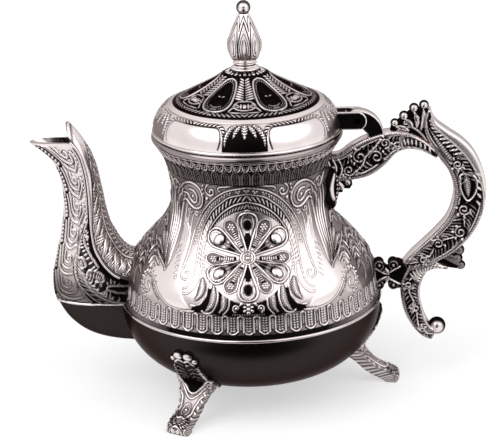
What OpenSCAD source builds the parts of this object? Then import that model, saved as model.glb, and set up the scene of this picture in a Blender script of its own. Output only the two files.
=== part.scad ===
// Footed metal coffee pot with a curved spout, a scrolled cast handle and a hinged lid.
// Origin on the pot's axis, on the surface it stands on. +X points to the handle, +Z up.

/* [Pot body] */
// Radius of the pot at the seam between bowl and belly
seam_r = 69.2; // [66:0.2:73]
// Height of that seam above the table
seam_z = 51.6; // [50:0.2:54]
// Radius of the bead that covers the seam
seam_bead_r = 0.9; // [0.6:0.1:1.4]
// Height of the bowl's flat bottom above the table
bottom_z = 13.5; // [12:0.5:15]
// Radius of the bowl's flat bottom
bottom_r = 30; // [24:1:36]
// Upright lip of the bowl under the seam
bowl_lip_h = 3.2; // [2:0.2:5]
// How much slimmer than the seam the belly is where its side stands upright
belly_in = 2.6; // [1.5:0.1:5]
// Height where the belly starts to draw in
shoulder_z = 65; // [63:0.5:68]
// Radius of the waist, outside
waist_r = 41; // [39:0.5:43]
// Height of the waist
waist_z = 108; // [104:0.5:112]
// Height of the rim's top face
rim_z = 143.5; // [141:0.5:146]
// Outer radius of the rolled rim
rim_r = 50.4; // [49:0.2:52]
// Height of the rolled rim
rim_h = 3.8; // [3:0.2:5]
// Radius of the mouth inside the rim
mouth_r = 44.3; // [43:0.1:45.5]
// Thickness of the sheet metal
wall = 1.2; // [0.8:0.1:1.5]

/* [Lid] */
// Outer radius of the lid's lower edge
lid_r = 49.5; // [48:0.1:50.2]
// Width of the rounded band round the lid
lid_band_w = 9.3; // [7:0.1:11]
// Height of the rounded band
lid_band_h = 14.6; // [12:0.2:17]
// Radius of the flat crown under the finial
crown_r = 11; // [10:0.2:13]
// Height of the crown above the rounded band
crown_h = 17; // [14:0.5:20]
// Depth that the lid's lining reaches into the mouth
lining_h = 7; // [4:0.5:9]
// Play between the lining and the mouth
lining_play = 1.3; // [1.1:0.1:1.6]
// Air under the lid's edge where it rests on the rim
lid_gap = 0.3; // [0.25:0.05:0.5]

/* [Finial] */
// Height of the turned collar
collar_h = 6; // [5:0.5:8]
// Height of the leaf bud
bud_h = 24.5; // [20:0.5:28]
// Largest radius of the bud
bud_r = 9.3; // [7:0.1:10.5]
// Radius of the ball on top
ball_r = 3.7; // [3:0.1:4.5]
// Radius of the threaded stud
stud_r = 2; // [1.5:0.1:2.5]
// Width of the nut across its corners
nut_w = 9; // [7:0.5:11]
// Thickness of the nut
nut_h = 3; // [2:0.5:4]
// Thickness of the washer
washer_h = 1; // [0.6:0.1:1.6]
// Clearance round the stud
stud_play = 0.15; // [0.05:0.05:0.3]

/* [Hinge] */
// Distance of the hinge pin outside the rim
pin_out = 7.5; // [7:0.1:9]
// Height of the pin above the rim's top face
pin_up = 4.8; // [4.6:0.1:5.6]
// Radius of the hinge pin
pin_r = 1.5; // [1:0.1:2]
// Radial running clearance of the pin in the lid's arm
pin_play = 0.06; // [0.02:0.01:0.1]
// Radius of the rounded ends round the pin
knuckle_r = 4.9; // [4:0.1:4.9]
// Width of the pot's lug between the arm's cheeks
lug_w = 7.8; // [6:0.2:9]
// Side play of the lug between the cheeks
lug_play = 0.3; // [0.2:0.05:0.4]
// Thickness of each cheek of the arm
cheek = 1.8; // [1.2:0.1:2.4]
// Thickness of the arm's web
web = 1.3; // [1:0.1:1.8]
// Depth of the web below the cheeks' top edge
web_drop = 1; // [0.4:0.1:1.6]
// Distance from the pin to the end of the web
web_end = 5.2; // [5:0.1:6]
// Radius of the lug's curved back
lug_back_r = 14; // [12:0.5:16]
// Depth of the lug's tang under the handle's top
tang_h = 4; // [3:0.5:5]

/* [Handle] */
// Half thickness of the cast handle
grip_t = 5.2; // [4:0.1:6.5]
// Depth of the sunk panels on the handle's sides
panel_d = 0.9; // [0.4:0.1:1.4]
// How far the handle's root lies below the rim's top face
root_drop = 21; // [19:0.5:23]
// Radius of the largest bead on the crest
crest_bead_r = 2.6; // [2:0.1:3]
// Radius of the knob at the end of the tail
knob_r = 4.7; // [4:0.1:5.5]
// Thickness of the leaf plate on the neck
leaf_t = 1.6; // [1.2:0.1:2.2]
// Height of the leaf plate
leaf_h = 27; // [24:0.5:30]
// Half width of the leaf plate
leaf_w = 12; // [9:0.5:14]
// Height of the lower bracket's middle above the table
bracket_z = 61.5; // [60:0.5:63]
// Height of the lower bracket
bracket_h = 17; // [14:0.5:18]
// Width of the lower bracket
bracket_w = 8; // [6:0.5:10]

/* [Spout] */
// How far the spout's mouth lies below the rim's top face
beak_drop = 3.9; // [0.5:0.1:7.5]
// Half width of the spout at its widest
spout_w = 15.5; // [13:0.5:17]
// Thickness of the spout's sheet
spout_wall = 1.3; // [1:0.1:1.6]
// Lip of the back cover beyond the front shell
spout_lip = 0.8; // [0.4:0.1:1.2]
// Width of the flange where the spout meets the body
flange_w = 1.6; // [1:0.1:2.4]
// Thickness of that flange
flange_t = 0.9; // [0.6:0.1:1.2]
// Clearance between the flange and the seam's bead
flange_play = 0.1; // [0.05:0.05:0.3]
// Radius of the strainer holes behind the spout
strain_r = 1.25; // [0.8:0.05:1.6]
// Distance between strainer holes
strain_pitch = 4.6; // [4:0.1:6]

/* [Feet] */
// How far the toes' ends reach out beyond the seam
toe_out = 10; // [8:0.2:13]
// Half width of a foot where it leaves the bowl
foot_top_w = 10.5; // [8:0.5:12]
// Half width of a foot at its ankle
foot_ankle_w = 6; // [4.5:0.5:8]
// Thickness of the foot's shield on the bowl
shield_t = 1.6; // [1.2:0.1:2.2]
// Height of the shield's top above the table
shield_top_z = 43.5; // [40:0.5:46]
// Radius of the screws that hold feet and handle
screw_r = 1.5; // [1.2:0.1:2]
// Clearance round the screws in the sheet
screw_play = 0.2; // [0.1:0.05:0.4]
// Radius of the screw heads
head_r = 3; // [2.4:0.1:4]
// Thickness of the screw heads
head_h = 1.6; // [1.2:0.1:2.4]
// Depth that the screws reach into the castings
screw_bite = 5; // [4:0.5:6]

/* [Hidden] */
$fn = 96;
belly_r = seam_r - belly_in;
root_z = rim_z - root_drop;
beak_z = rim_z - beak_drop;
bright = [0.86, 0.80, 0.80];
dark = [0.24, 0.20, 0.19];
black = [0.10, 0.09, 0.09];

// ---- small helpers -------------------------------------------------------
far = 400;
function ease(t) = (1 - cos(180 * t)) / 2;
function clamp01(t) = min(max(t, 0), 1);
function rev(list) = [for (i = [len(list) - 1 : -1 : 0]) list[i]];
// Catmull-Rom curve through stations of any dimension, t from 0 to 1
function spline(p, t) =
    let (n = len(p) - 1, s = min(floor(t * n), n - 1), u = t * n - s,
         a = p[max(s - 1, 0)], b = p[s], c = p[s + 1], d = p[min(s + 2, n)])
    b + u * ((c - a) / 2 + u * ((a - 2.5 * b + 2 * c - d / 2)
      + u * ((d - a) / 2 + 1.5 * (b - c))));
// Closed solid through rings of equally many points
module loft(rings) {
    n = len(rings[0]);
    last = len(rings) - 1;
    polyhedron(
        points = [for (r = rings) each r],
        faces = concat(
            [[for (i = [n - 1 : -1 : 0]) i]],
            [for (k = [0 : last - 1], i = [0 : n - 1])
                [k * n + i, k * n + (i + 1) % n, (k + 1) * n + (i + 1) % n]],
            [for (k = [0 : last - 1], i = [0 : n - 1])
                [k * n + i, (k + 1) * n + (i + 1) % n, (k + 1) * n + i]],
            [[for (i = [0 : n - 1]) last * n + i]]));
}

// ---- pot body ------------------------------------------------------------
bowl_h = seam_z - bowl_lip_h - bottom_z;
neck_top_z = rim_z - rim_h;
neck_top_r = rim_r - 1.4;
// Outer radius of the belly at height z
function belly(z) =
    z < shoulder_z
        ? belly_r + (seam_r - belly_r) * pow((shoulder_z - z) / (shoulder_z - seam_z), 2)
    : z < waist_z
        ? waist_r + (belly_r - waist_r) * (1 - ease((z - shoulder_z) / (waist_z - shoulder_z)))
        : waist_r + (neck_top_r - waist_r) * pow((z - waist_z) / (neck_top_z - waist_z), 3);
belly_steps = 30;
function belly_line(grow) =
    [for (i = [0 : belly_steps])
        let (z = seam_z + (neck_top_z - seam_z) * i / belly_steps) [belly(z) + grow, z]];
bowl_steps = 12;
function bowl_line(grow) =
    [for (i = [0 : bowl_steps]) let (a = 90 * i / bowl_steps)
        [bottom_r + (seam_r - bottom_r + grow) * sin(a),
         bottom_z + bowl_h - (bowl_h + grow) * cos(a)]];
// The whole pot as one solid, its surface moved out by grow
module pot_solid(grow = 0)
    rotate_extrude()
        polygon(concat([[0, bottom_z - grow]], bowl_line(grow), belly_line(grow),
                       [[0, neck_top_z]]));
// A layer of the given thickness lying on the pot's surface
module pot_layer(thick)
    rotate_extrude()
        polygon(concat(bowl_line(thick), belly_line(thick),
                       rev(belly_line(0)), rev(bowl_line(0))));

module base_bowl() color(dark)
    difference() {
        rotate_extrude()
            polygon(concat([[0, bottom_z]], bowl_line(0), [[seam_r, seam_z]],
                           [[seam_r - wall, seam_z]], rev(bowl_line(-wall)),
                           [[0, bottom_z + wall]]));
        for (a = foot_angles)
            foot_screw_place(a) cylinder(r = screw_r + screw_play, h = far / 8, center = true);
    }

module belly_shell() color(bright)
    difference() {
        rotate_extrude()
            polygon(concat(belly_line(0), rev(belly_line(-wall))));
        strainer_holes();
        handle_screw_holes(screw_r + screw_play);
    }

// The seam's bead stops on each side of the spout's flange
module seam_ring() color(bright)
    difference() {
        rotate_extrude()
            intersection() {
                translate([seam_r, seam_z]) circle(r = seam_bead_r, $fn = 32);
                translate([seam_r, 0]) square([seam_bead_r + 1, far]);
            }
        foot_block(flange_w + flange_play);
    }

rim_bead_r = rim_h / 2;
module rim_collar() color(bright)
    rotate_extrude() {
        translate([mouth_r, neck_top_z]) square([rim_r - rim_bead_r - mouth_r, rim_h]);
        translate([rim_r - rim_bead_r, neck_top_z + rim_bead_r]) circle(r = rim_bead_r, $fn = 32);
    }

// Holes in the belly's wall behind the spout, in staggered rows
strain_rows = 5;
strain_low_z = seam_z + 6;
module strainer_holes()
    for (row = [0 : strain_rows - 1], k = [-2 : 2])
        if (abs(k) + row / 2 < 3.1)
            translate([-belly_r, (k + (row % 2) / 2 - 0.25) * strain_pitch,
                       strain_low_z + row * strain_pitch * 0.87])
                rotate([0, 90, 0]) cylinder(r = strain_r, h = 12, center = true);

// ---- spout ---------------------------------------------------------------
// Stations: front point x, z; back point x, z; half width; where the side rib lies
// between front and back. x is counted from the seam's radius, z from the seam's height,
// and the half width is a share of spout_w. Heights over the seam follow the mouth's height.
spout_stations = [
    [ 12, -25.5, 12,  25, 0.86, 0.76],
    [ -3, -24,    5,  27, 0.97, 0.76],
    [-15, -21,    2,  29, 1.00, 0.76],
    [-24, -16,   -1,  33, 1.00, 0.76],
    [-31.5, -8,  -3,  37, 0.98, 0.76],
    [-36.3,  3,  -5,  41, 0.92, 0.76],
    [-36.6, 14.5, -6.6, 47, 0.83, 0.76],
    [-34.3, 26,  -7.6, 52, 0.74, 0.75],
    [-31.6, 38,  -8.4, 58, 0.66, 0.74],
    [-29.5, 51,  -9.6, 65, 0.59, 0.74],
    [-29.6, 63, -11.3, 74, 0.53, 0.76],
    [-32.2, 74, -15,   84, 0.47, 0.80],
    [-38.4, 82, -19.5, 92, 0.42, 0.76],
    [-45.4, 88, -24.8, 98.6, 0.37, 0.68]];
spout_rings = 26;
side_steps = 5;
// How far the last station's back point lies over the mouth's plane
beak_over = 10.6;
spout_stretch = (beak_z - seam_z + beak_over) / spout_stations[len(spout_stations) - 1][3];
function spout_rise(z) = z > 0 ? z * spout_stretch : z;
function plane_pt(s, k) =
    [s[0] + (s[2] - s[0]) * k - seam_r, spout_rise(s[1] + (s[3] - s[1]) * k) + seam_z];
// Half oval from one rib to the other round p, in the station's plane; reach is how far p lies
// from the rib point, and full sets how square the oval is
function half_oval(rib, p, w, full) =
    [for (i = [-side_steps : side_steps]) let (a = 90 * i / side_steps,
        c = pow(cos(a), full), s = sign(a) * pow(abs(sin(a)), full))
        [rib[0] + (p[0] - rib[0]) * c, w * s, rib[1] + (p[1] - rib[1]) * c]];
function toward(p, q, d) = p + (q - p) * d / norm(q - p);
front_full = 0.8;
function front_ring(t, grow) =
    let (s = spline(spout_stations, t), f = plane_pt(s, 0), r = plane_pt(s, s[5]),
         w = s[4] * spout_w)
    concat(half_oval(r, toward(f, r, -grow), w + grow, front_full),
           rev(half_oval(r, toward(f, r, spout_wall), w - spout_wall, front_full)));
function back_ring(t) =
    let (s = spline(spout_stations, t), r = plane_pt(s, s[5]), b = plane_pt(s, 1),
         w = s[4] * spout_w, q = toward(r, b, spout_lip))
    concat([[r[0], -w - spout_lip, r[1]], [q[0], -w - spout_lip, q[1]]],
           half_oval(q, b, w, 1),
           [[q[0], w + spout_lip, q[1]], [r[0], w + spout_lip, r[1]]],
           rev(half_oval(r, toward(b, r, spout_wall), w - spout_wall, 1)));
module spout_front(grow = 0)
    loft([for (i = [0 : spout_rings]) front_ring(i / spout_rings, grow)]);
module spout_back()
    loft([for (i = [0 : spout_rings]) back_ring(i / spout_rings)]);
module below(z) translate([-far / 2, -far / 2, z - far]) cube(far);
module above(z) translate([-far / 2, -far / 2, z]) cube(far);

module spout_front_shell() color(bright)
    difference() {
        spout_front();
        pot_solid(flange_t);
        below(seam_z);
        above(beak_z);
    }
module spout_base() color(dark)
    difference() {
        spout_front();
        pot_solid(flange_t);
        above(seam_z);
    }
module spout_back_cover() color(bright)
    difference() {
        spout_back();
        pot_solid(flange_t);
    }
// Strip on the body along the spout's foot
module spout_flange() color(bright)
    intersection() {
        pot_layer(flange_t);
        difference() {
            foot_block(flange_w);
            foot_block(-spout_wall);
        }
    }
// Block through the body's side with that outline, grown by a distance
module foot_block(grow)
    translate([-seam_r, 0, 0]) rotate([0, -90, 0])
        linear_extrude(height = far / 5, center = true) foot_outline(grow);
// Outline of the spout where it stands on the body, seen along X: height by width
foot_half_h = 26;
foot_half_w = spout_w - 2.5;
module foot_outline(grow)
    polygon([for (i = [0 : 40]) let (a = 360 * i / 40, half_h = foot_half_h + grow)
        [seam_z + spout_rise(0.5 + half_h * cos(a)),
         (foot_half_w + grow) * sin(a) * (1 - 0.18 * cos(a))]]);

// ---- handle --------------------------------------------------------------
// Stations of the cast bands: x out from the waist, z from the root, half width. Heights under
// the root follow the distance from the root to the lower bracket.
bracket_down = 61;
handle_stretch = (root_z - bracket_z) / bracket_down;
function handle_rise(z) = z < 0 ? z * handle_stretch : z;
function handle_pt(st, t) = let (p = spline(st, clamp01(t))) [p[0], handle_rise(p[1]), p[2]];
root_band = [
    [ -1,   0.0, 6.6], [ 9,  0.2, 7.6], [18,  3.6, 9.6], [ 25.5, 8.0, 9.2], [33, 12.4, 6.9],
    [ 39,  14.0, 5.4], [45, 13.6, 4.2], [52, 10.6, 2.8], [59,  5.2, 1.4]];
grip_band = [
    [ 54.6, 30.6, 0.8], [54.6, 25.0, 2.8], [56.6, 19.6, 4.8], [61,   14.0, 6.5], [66.4,  8.3, 8.0],
    [ 71.3,  2.2, 8.4], [74.8, -6.0, 8.6], [76, -15.0, 8.5], [74.6, -24.4, 8.5], [70.6,-33.6, 8.3],
    [ 63.6,-41.6, 8.0], [55.6,-47.8, 6.8], [47.6,-52.6, 4.8], [41.4, -56.0, 2.0]];
tail_band = [
    [ 64.6, -57.6, 0.8], [57.6, -55.6, 2.2], [50.6, -56.6, 4.2], [45.8, -62.4, 5.4],
    [ 44.4, -70.0, 5.2], [45.6, -79.2, 5.0], [48.8, -87.6, 4.3], [53, -93.4, 3.6], [57.4, -95.6, 3.2]];
// The casting's rounded edge is built in layers: inset from the outline, share of grip_t
edge_layers = [[0, 0.45], [0.8, 0.8], [1.8, 1]];
panel_inset = 3.2;
band_steps = 24;
thin_tip = 0.3;
function band_edge(st, inset, side) =
    [for (i = [0 : band_steps])
        let (t = i / band_steps, e = 0.004, s = handle_pt(st, t),
             d = handle_pt(st, t + e) - handle_pt(st, t - e),
             n = [d[1], -d[0]] / norm([d[0], d[1]]), w = s[2] - inset)
        if (w > thin_tip) [s[0] + side * w * n[0], s[1] + side * w * n[1]]];
module band(st, inset)
    polygon(concat(band_edge(st, inset, 1), rev(band_edge(st, inset, -1))));
// Outline of the casting in its own plane, drawn from the waist and the root
module handle_outline(inset) {
    band(root_band, inset);
    band(grip_band, inset);
    band(tail_band, inset);
}
module at_root() translate([waist_r, 0, root_z]) rotate([90, 0, 0]) children();
module bead(x, z, r) translate([waist_r + x, 0, root_z + z])
    rotate_extrude($fn = 24) intersection() { circle(r = r, $fn = 24); translate([0, -r]) square(2 * r); }

crest_beads = [[36.6, 23.0, 0.9], [41.4, 26.8, 1], [46.6, 30.9, 1], [51.8, 32.4, 1]];
thorn_beads = [[70.6, -48.4, 1.0], [69.4, -53.0, 1.1], [71.6, -57.0, 0.85]];
knob_at = [59, -91.8, 1];
// Row of beads that keeps its own spacing and follows one station of a band
module beads(row, r, station)
    for (b = row) bead(b[0], handle_rise(station[1]) + b[1] - station[1], b[2] * r);
module handle() color(bright)
    difference() {
        union() {
            for (e = edge_layers)
                at_root() linear_extrude(height = 2 * e[1] * grip_t, center = true) handle_outline(e[0]);
            crest_plate();
            beads(crest_beads, crest_bead_r, root_band[0]);
            beads(thorn_beads, crest_bead_r, grip_band[10]);
            beads([knob_at], knob_r, tail_band[8]);
            root_curl();
        }
        for (side = [-1, 1])
            translate([0, side * grip_t, 0])
                at_root() linear_extrude(height = 2 * panel_d, center = true) handle_outline(panel_inset);
        pot_solid(leaf_t);
        lug_shape();
        handle_screw_holes(screw_r);
    }
// Leafy web under the crest's beads
module crest_plate() at_root()
    linear_extrude(height = 2 * crest_bead_r * 0.7, center = true)
        polygon([[50, 10], [58, 15], [54.5, 22], [54, 30], [50, 31.5], [44, 29.5], [39, 25.5],
                 [34.5, 21.5], [33, 15]]);
// Small curl under the root
module root_curl() at_root()
    linear_extrude(height = 1.4 * grip_t, center = true) {
        polygon([[0, -6], [1.5, -11], [7, -13.5], [11.5, -10], [14, -5]]);
        translate([11.6, -9.8]) circle(r = 2.4, $fn = 24);
        translate([7, -12.6]) circle(r = 2.1, $fn = 24);
    }

// Leaf plate on the neck, under the root
module handle_leaf() color(bright)
    difference() {
        intersection() {
            pot_layer(leaf_t);
            translate([waist_r, 0, root_z - 9.5]) rotate([90, 0, 90])
                linear_extrude(height = far / 5, center = true) leaf_outline(leaf_w, leaf_h / 2);
        }
        handle_screw_holes(screw_r + screw_play);
    }
module leaf_outline(w, h)
    polygon([for (i = [0 : 36]) let (a = 10 * i)
        [w * sin(a) * (1 + 0.10 * cos(6 * a)), h * cos(a) * (1 + 0.04 * cos(6 * a))]]);

// Lyre-shaped bracket between the belly and the handle's tail
bracket_x = belly_r - 3 - waist_r;
tail_x = tail_band[3][0] - tail_band[3][2] + 1.6;
bracket_len = tail_x - bracket_x;
module lower_bracket() color(bright)
    difference() {
        at_root() linear_extrude(height = bracket_w, center = true)
            difference() {
                translate([bracket_x, bracket_z - root_z]) lyre_outline();
                handle_outline(0);
            }
        pot_solid();
        handle_screw_holes(screw_r);
    }
module lyre_outline() {
    curl = bracket_h / 6;
    high = bracket_h / 2;
    mid = bracket_len / 2 + 0.5;
    for (side = [-1, 1], x = [5.2, bracket_len - 6.6])
        translate([x, side * (high - curl)]) circle(r = curl, $fn = 24);
    polygon([[0, 3 - high], [5, 0.6 - high], [mid, 4.6 - high], [bracket_len - 6.6, 0.6 - high],
             [bracket_len, 3 - high], [bracket_len, high - 3], [bracket_len - 6.6, high - 0.6],
             [mid, high - 4.6], [5, high - 0.6], [0, high - 3]]);
}

// Screws from inside the pot: one through the leaf plate, one through the bracket
handle_screw_z = [root_z - 3, bracket_z];
module handle_screw_holes(r)
    for (z = handle_screw_z)
        translate([belly(z) - 2 * wall, 0, z]) rotate([0, 90, 0])
            cylinder(r = r, h = 2 * wall + leaf_t + screw_bite, $fn = 32);
// Pan-head screw along +Z: head inside the sheet, shank through it and bite beyond
head_seat = 0.2;
module screw(sheet, bite) {
    translate([0, 0, -sheet - head_seat - head_h]) cylinder(r = head_r, h = head_h, $fn = 32);
    translate([0, 0, -sheet - head_seat]) cylinder(r = screw_r, h = sheet + head_seat + bite - 0.5, $fn = 32);
}
module handle_screws() color(dark)
    for (z = handle_screw_z)
        translate([belly(z), 0, z]) rotate([0, 90, 0]) screw(wall, leaf_t + screw_bite);

// ---- feet ----------------------------------------------------------------
foot_angles = [0, 120, 240];
foot_screw_at = 41;
foot_screw_r = bottom_r + (seam_r - bottom_r) * sin(foot_screw_at);
foot_screw_z = bottom_z + bowl_h * (1 - cos(foot_screw_at));
foot_screw_tilt = atan2(cos(foot_screw_at) / bowl_h, sin(foot_screw_at) / (seam_r - bottom_r));
// Puts a screw's axis square to the bowl, its origin on the bowl's outer face, +Z outward
module foot_screw_place(angle)
    rotate(angle) translate([foot_screw_r, 0, foot_screw_z]) rotate([0, 90 + foot_screw_tilt, 0]) children();
// Gap between the leg and the bowl below the shield
leg_gap = 0.4;
// Side of the leg in the plane through the pot's axis: x outward, y up
module leg_side()
    translate([seam_r, 0])
        polygon([[-21.2, 30], [-7.2, 26], [-9, 20.5], [-7.2, 16.2], [-4, 12.4], [0.2, 9.4], [4.8, 7.4],
                 [toe_out - 1.5, 5.6], [toe_out, 4.2], [toe_out, 1.2], [toe_out - 1, 0],
                 [toe_out - 7, 0], [-0.8, 2.4], [-4.8, 4.6], [-8.8, 7.6], [-12.6, 11.6], [-15.7, 15],
                 [-21.2, 18]]);
// Front of the leg: x across, y up
function leg_half(z) = z > 8
    ? foot_ankle_w + (foot_top_w - foot_ankle_w) * ease(clamp01((z - 8) / 15))
    : foot_ankle_w + 1.2 * pow(1 - z / 8, 2);
module leg_front()
    polygon(concat([for (i = [0 : 10]) let (z = 3.2 * i) [leg_half(z), z]],
                   [for (i = [10 : -1 : 0]) let (z = 3.2 * i) [-leg_half(z), z]]));
// Shield on the bowl: a broad palmette, x across, y up
module shield_outline()
    polygon(concat([[-foot_top_w, 20], [foot_top_w, 20]],
        [for (i = [0 : 12]) let (a = 180 * i / 12)
            [(foot_top_w + 0.5) * cos(a) * (1 + 0.05 * cos(5 * a)),
             27 + (shield_top_z - 27) * pow(sin(a), 0.8)]]));
module foot(angle) color(bright)
    rotate(angle) difference() {
        union() {
            difference() {
                intersection() {
                    rotate([90, 0, 0]) linear_extrude(height = 30, center = true) leg_side();
                    rotate([90, 0, 90]) linear_extrude(height = far / 4) leg_front();
                }
                pot_solid(leg_gap);
            }
            intersection() {
                pot_layer(shield_t);
                rotate([90, 0, 90]) linear_extrude(height = far / 4) shield_outline();
            }
        }
        foot_screw_place(0) translate([0, 0, -screw_bite])
            cylinder(r = screw_r, h = 2 * screw_bite, $fn = 32);
    }
module foot_screws() color(dark)
    for (a = foot_angles) foot_screw_place(a) screw(wall, screw_bite);

// ---- hinge ---------------------------------------------------------------
pin_x = rim_r + pin_out;
pin_z = rim_z + pin_up;
arm_w = lug_w + 2 * lug_play + 2 * cheek;
module at_pin() translate([pin_x, 0, pin_z]) rotate([90, 0, 0]) children();
// Lug on the handle: a round head, a curved back and a tang let into the handle
module lug_shape() at_pin() linear_extrude(height = lug_w, center = true) {
    circle(r = knuckle_r, $fn = 48);
    intersection() {
        translate([0, knuckle_r - lug_back_r]) circle(r = lug_back_r, $fn = 96);
        polygon([[0, knuckle_r], [lug_back_r, knuckle_r], [lug_back_r, -pin_up - tang_h - 1.5],
                 [5.2, -pin_up - tang_h - 1.5], [5.2, -7.5], [2.2, -4.4]]);
    }
}
module hinge_lug() color(black)
    difference() {
        lug_shape();
        at_pin() cylinder(r = pin_r, h = far / 8, center = true, $fn = 48);
    }
module hinge_pin() color(black)
    at_pin() cylinder(r = pin_r, h = arm_w, center = true, $fn = 48);

// Arm on the lid: two cheeks round the lug, joined by a sunk web and a coped root block
arm_bottom = lid_gap - pin_up;
module arm_side(end)
    polygon([[-20, arm_bottom], [end, arm_bottom], [end, knuckle_r], [-20, knuckle_r]]);
module lid_arm() color(black)
    difference() {
        union() {
            for (side = [-1, 1])
                translate([0, side * (arm_w - cheek) / 2, 0]) at_pin()
                    linear_extrude(height = cheek, center = true) {
                        arm_side(0);
                        intersection() {
                            circle(r = knuckle_r, $fn = 64);
                            translate([-knuckle_r, arm_bottom]) square(2 * knuckle_r);
                        }
                    }
            at_pin() translate([-20, knuckle_r - web_drop - web, -arm_w / 2 + cheek / 2])
                cube([20 - web_end, web, arm_w - cheek]);
            at_pin() linear_extrude(height = arm_w, center = true) arm_side(-pin_out - 0.4);
        }
        lid_solid();
        at_pin() cylinder(r = pin_r + pin_play, h = far / 8, center = true, $fn = 48);
    }

// ---- lid -----------------------------------------------------------------
lid_z = rim_z + lid_gap;
band_top_r = lid_r - lid_band_w;
crown_z = lid_z + lid_band_h + crown_h;
lid_steps = 10;
// Outer outline of the lid from its edge to the crown; cut moves it inward
function lid_line(cut) = concat(
    [for (i = [0 : lid_steps]) let (a = 84 * i / lid_steps)
        [band_top_r + (lid_band_w - cut) * cos(a), lid_z + (lid_band_h - cut) * sin(a)]],
    [for (i = [1 : lid_steps]) let (u = i / lid_steps, r0 = band_top_r + 0.1 * lid_band_w)
        [r0 + (crown_r - r0) * u,
         lid_z + lid_band_h - cut + crown_h * (0.9 * u + 0.1 * pow(u, 8))]]);
module lid_solid()
    rotate_extrude() polygon(concat([[0, lid_z]], lid_line(0), [[0, crown_z]]));
module lid_shell() color(bright)
    difference() {
        rotate_extrude()
            polygon(concat(lid_line(0), [[0, crown_z], [0, crown_z - wall]], rev(lid_line(wall))));
        translate([0, 0, crown_z]) cylinder(r = stud_r + stud_play, h = 4 * wall, center = true, $fn = 48);
    }
lining_r = mouth_r - lining_play;
module lid_lining() color(bright)
    rotate_extrude() {
        translate([lining_r - wall, lid_z - lid_gap - lining_h]) square([wall, lining_h + lid_gap]);
        translate([lining_r - wall, lid_z]) square([lid_r - wall - lining_r + wall - 0.3, wall * 0.8]);
    }

// ---- finial --------------------------------------------------------------
// Outline of the collar: a skirt on the crown, a broad ring and a fine ring over it
collar_steps = 20;
collar_waist = 6.2;
ring_out = 1.5;
function collar_r(u) = collar_waist + (crown_r - 0.6 - collar_waist) * pow(1 - u, 5)
    + ring_out * pow(sin(180 * clamp01(2 * u - 0.2)), 2)
    + ring_out / 2 * pow(sin(180 * clamp01(4 * u - 2.6)), 2);
module finial_collar() color(bright)
    difference() {
        rotate_extrude()
            polygon(concat([[0, crown_z]],
                [for (i = [0 : collar_steps]) let (u = i / collar_steps)
                    [collar_r(u), crown_z + collar_h * u]],
                [[0, crown_z + collar_h]]));
        stud_bore(stud_r + stud_play);
    }
bud_z = crown_z + collar_h;
neck_r = 2.7;
module finial_bud() color(bright)
    difference() {
        rotate_extrude()
            polygon(concat([[0, bud_z]],
                [for (i = [0 : 8]) let (a = 90 * i / 8)
                    [6.2 + (bud_r - 6.2) * sin(a), bud_z + 0.27 * bud_h * (1 - cos(a))]],
                [for (i = [1 : 12]) let (u = i / 12)
                    [neck_r + (bud_r - neck_r) * (1 - pow(u, 1.35)), bud_z + bud_h * (0.27 + 0.73 * u)]],
                [[0, bud_z + bud_h]]));
        stud_bore(stud_r);
        translate([0, 0, bud_z + bud_h]) cylinder(r = spigot_r, h = 2 * spigot_h, center = true, $fn = 32);
    }
spigot_r = 1.4;
spigot_h = 3;
module finial_ball() color(bright)
    translate([0, 0, bud_z + bud_h]) rotate_extrude() {
        intersection() {
            translate([0, ball_r - 0.6]) circle(r = ball_r, $fn = 48);
            square(3 * ball_r);
        }
        translate([0, 0.2 - spigot_h]) square([spigot_r, spigot_h]);
    }
stud_low = crown_z - wall - washer_h - nut_h - 1.5;
stud_top = bud_z + 0.5 * bud_h;
module stud_bore(r) translate([0, 0, stud_low]) cylinder(r = r, h = stud_top - stud_low + 0.3, $fn = 48);
module finial_stud() color(dark)
    translate([0, 0, stud_low]) cylinder(r = stud_r, h = stud_top - stud_low, $fn = 48);
module finial_washer() color(dark)
    translate([0, 0, crown_z - wall - washer_h]) difference() {
        cylinder(r = nut_w / 2 + 1, h = washer_h, $fn = 48);
        translate([0, 0, -1]) cylinder(r = stud_r + stud_play, h = washer_h + 2, $fn = 48);
    }
module finial_nut() color(dark)
    translate([0, 0, crown_z - wall - washer_h - nut_h]) difference() {
        cylinder(r = nut_w / 2, h = nut_h, $fn = 6);
        translate([0, 0, -1]) cylinder(r = stud_r, h = nut_h + 2, $fn = 48);
    }

base_bowl();
belly_shell();
seam_ring();
rim_collar();
spout_front_shell();
spout_back_cover();
spout_base();
spout_flange();
handle();
handle_leaf();
lower_bracket();
handle_screws();
foot(foot_angles[0]);  // foot_rear
foot(foot_angles[2]);  // foot_front_left
foot(foot_angles[1]);  // foot_front_right
foot_screws();
hinge_lug();
hinge_pin();
lid_arm();
lid_shell();
lid_lining();
finial_collar();
finial_bud();
finial_ball();
finial_stud();
finial_washer();
finial_nut();
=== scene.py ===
import logging
import math
from dataclasses import dataclass, field
from enum import Enum
from typing import Callable, Iterable, Sequence

import bmesh
import bpy
import numpy as np
from mathutils import Matrix, Vector


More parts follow.
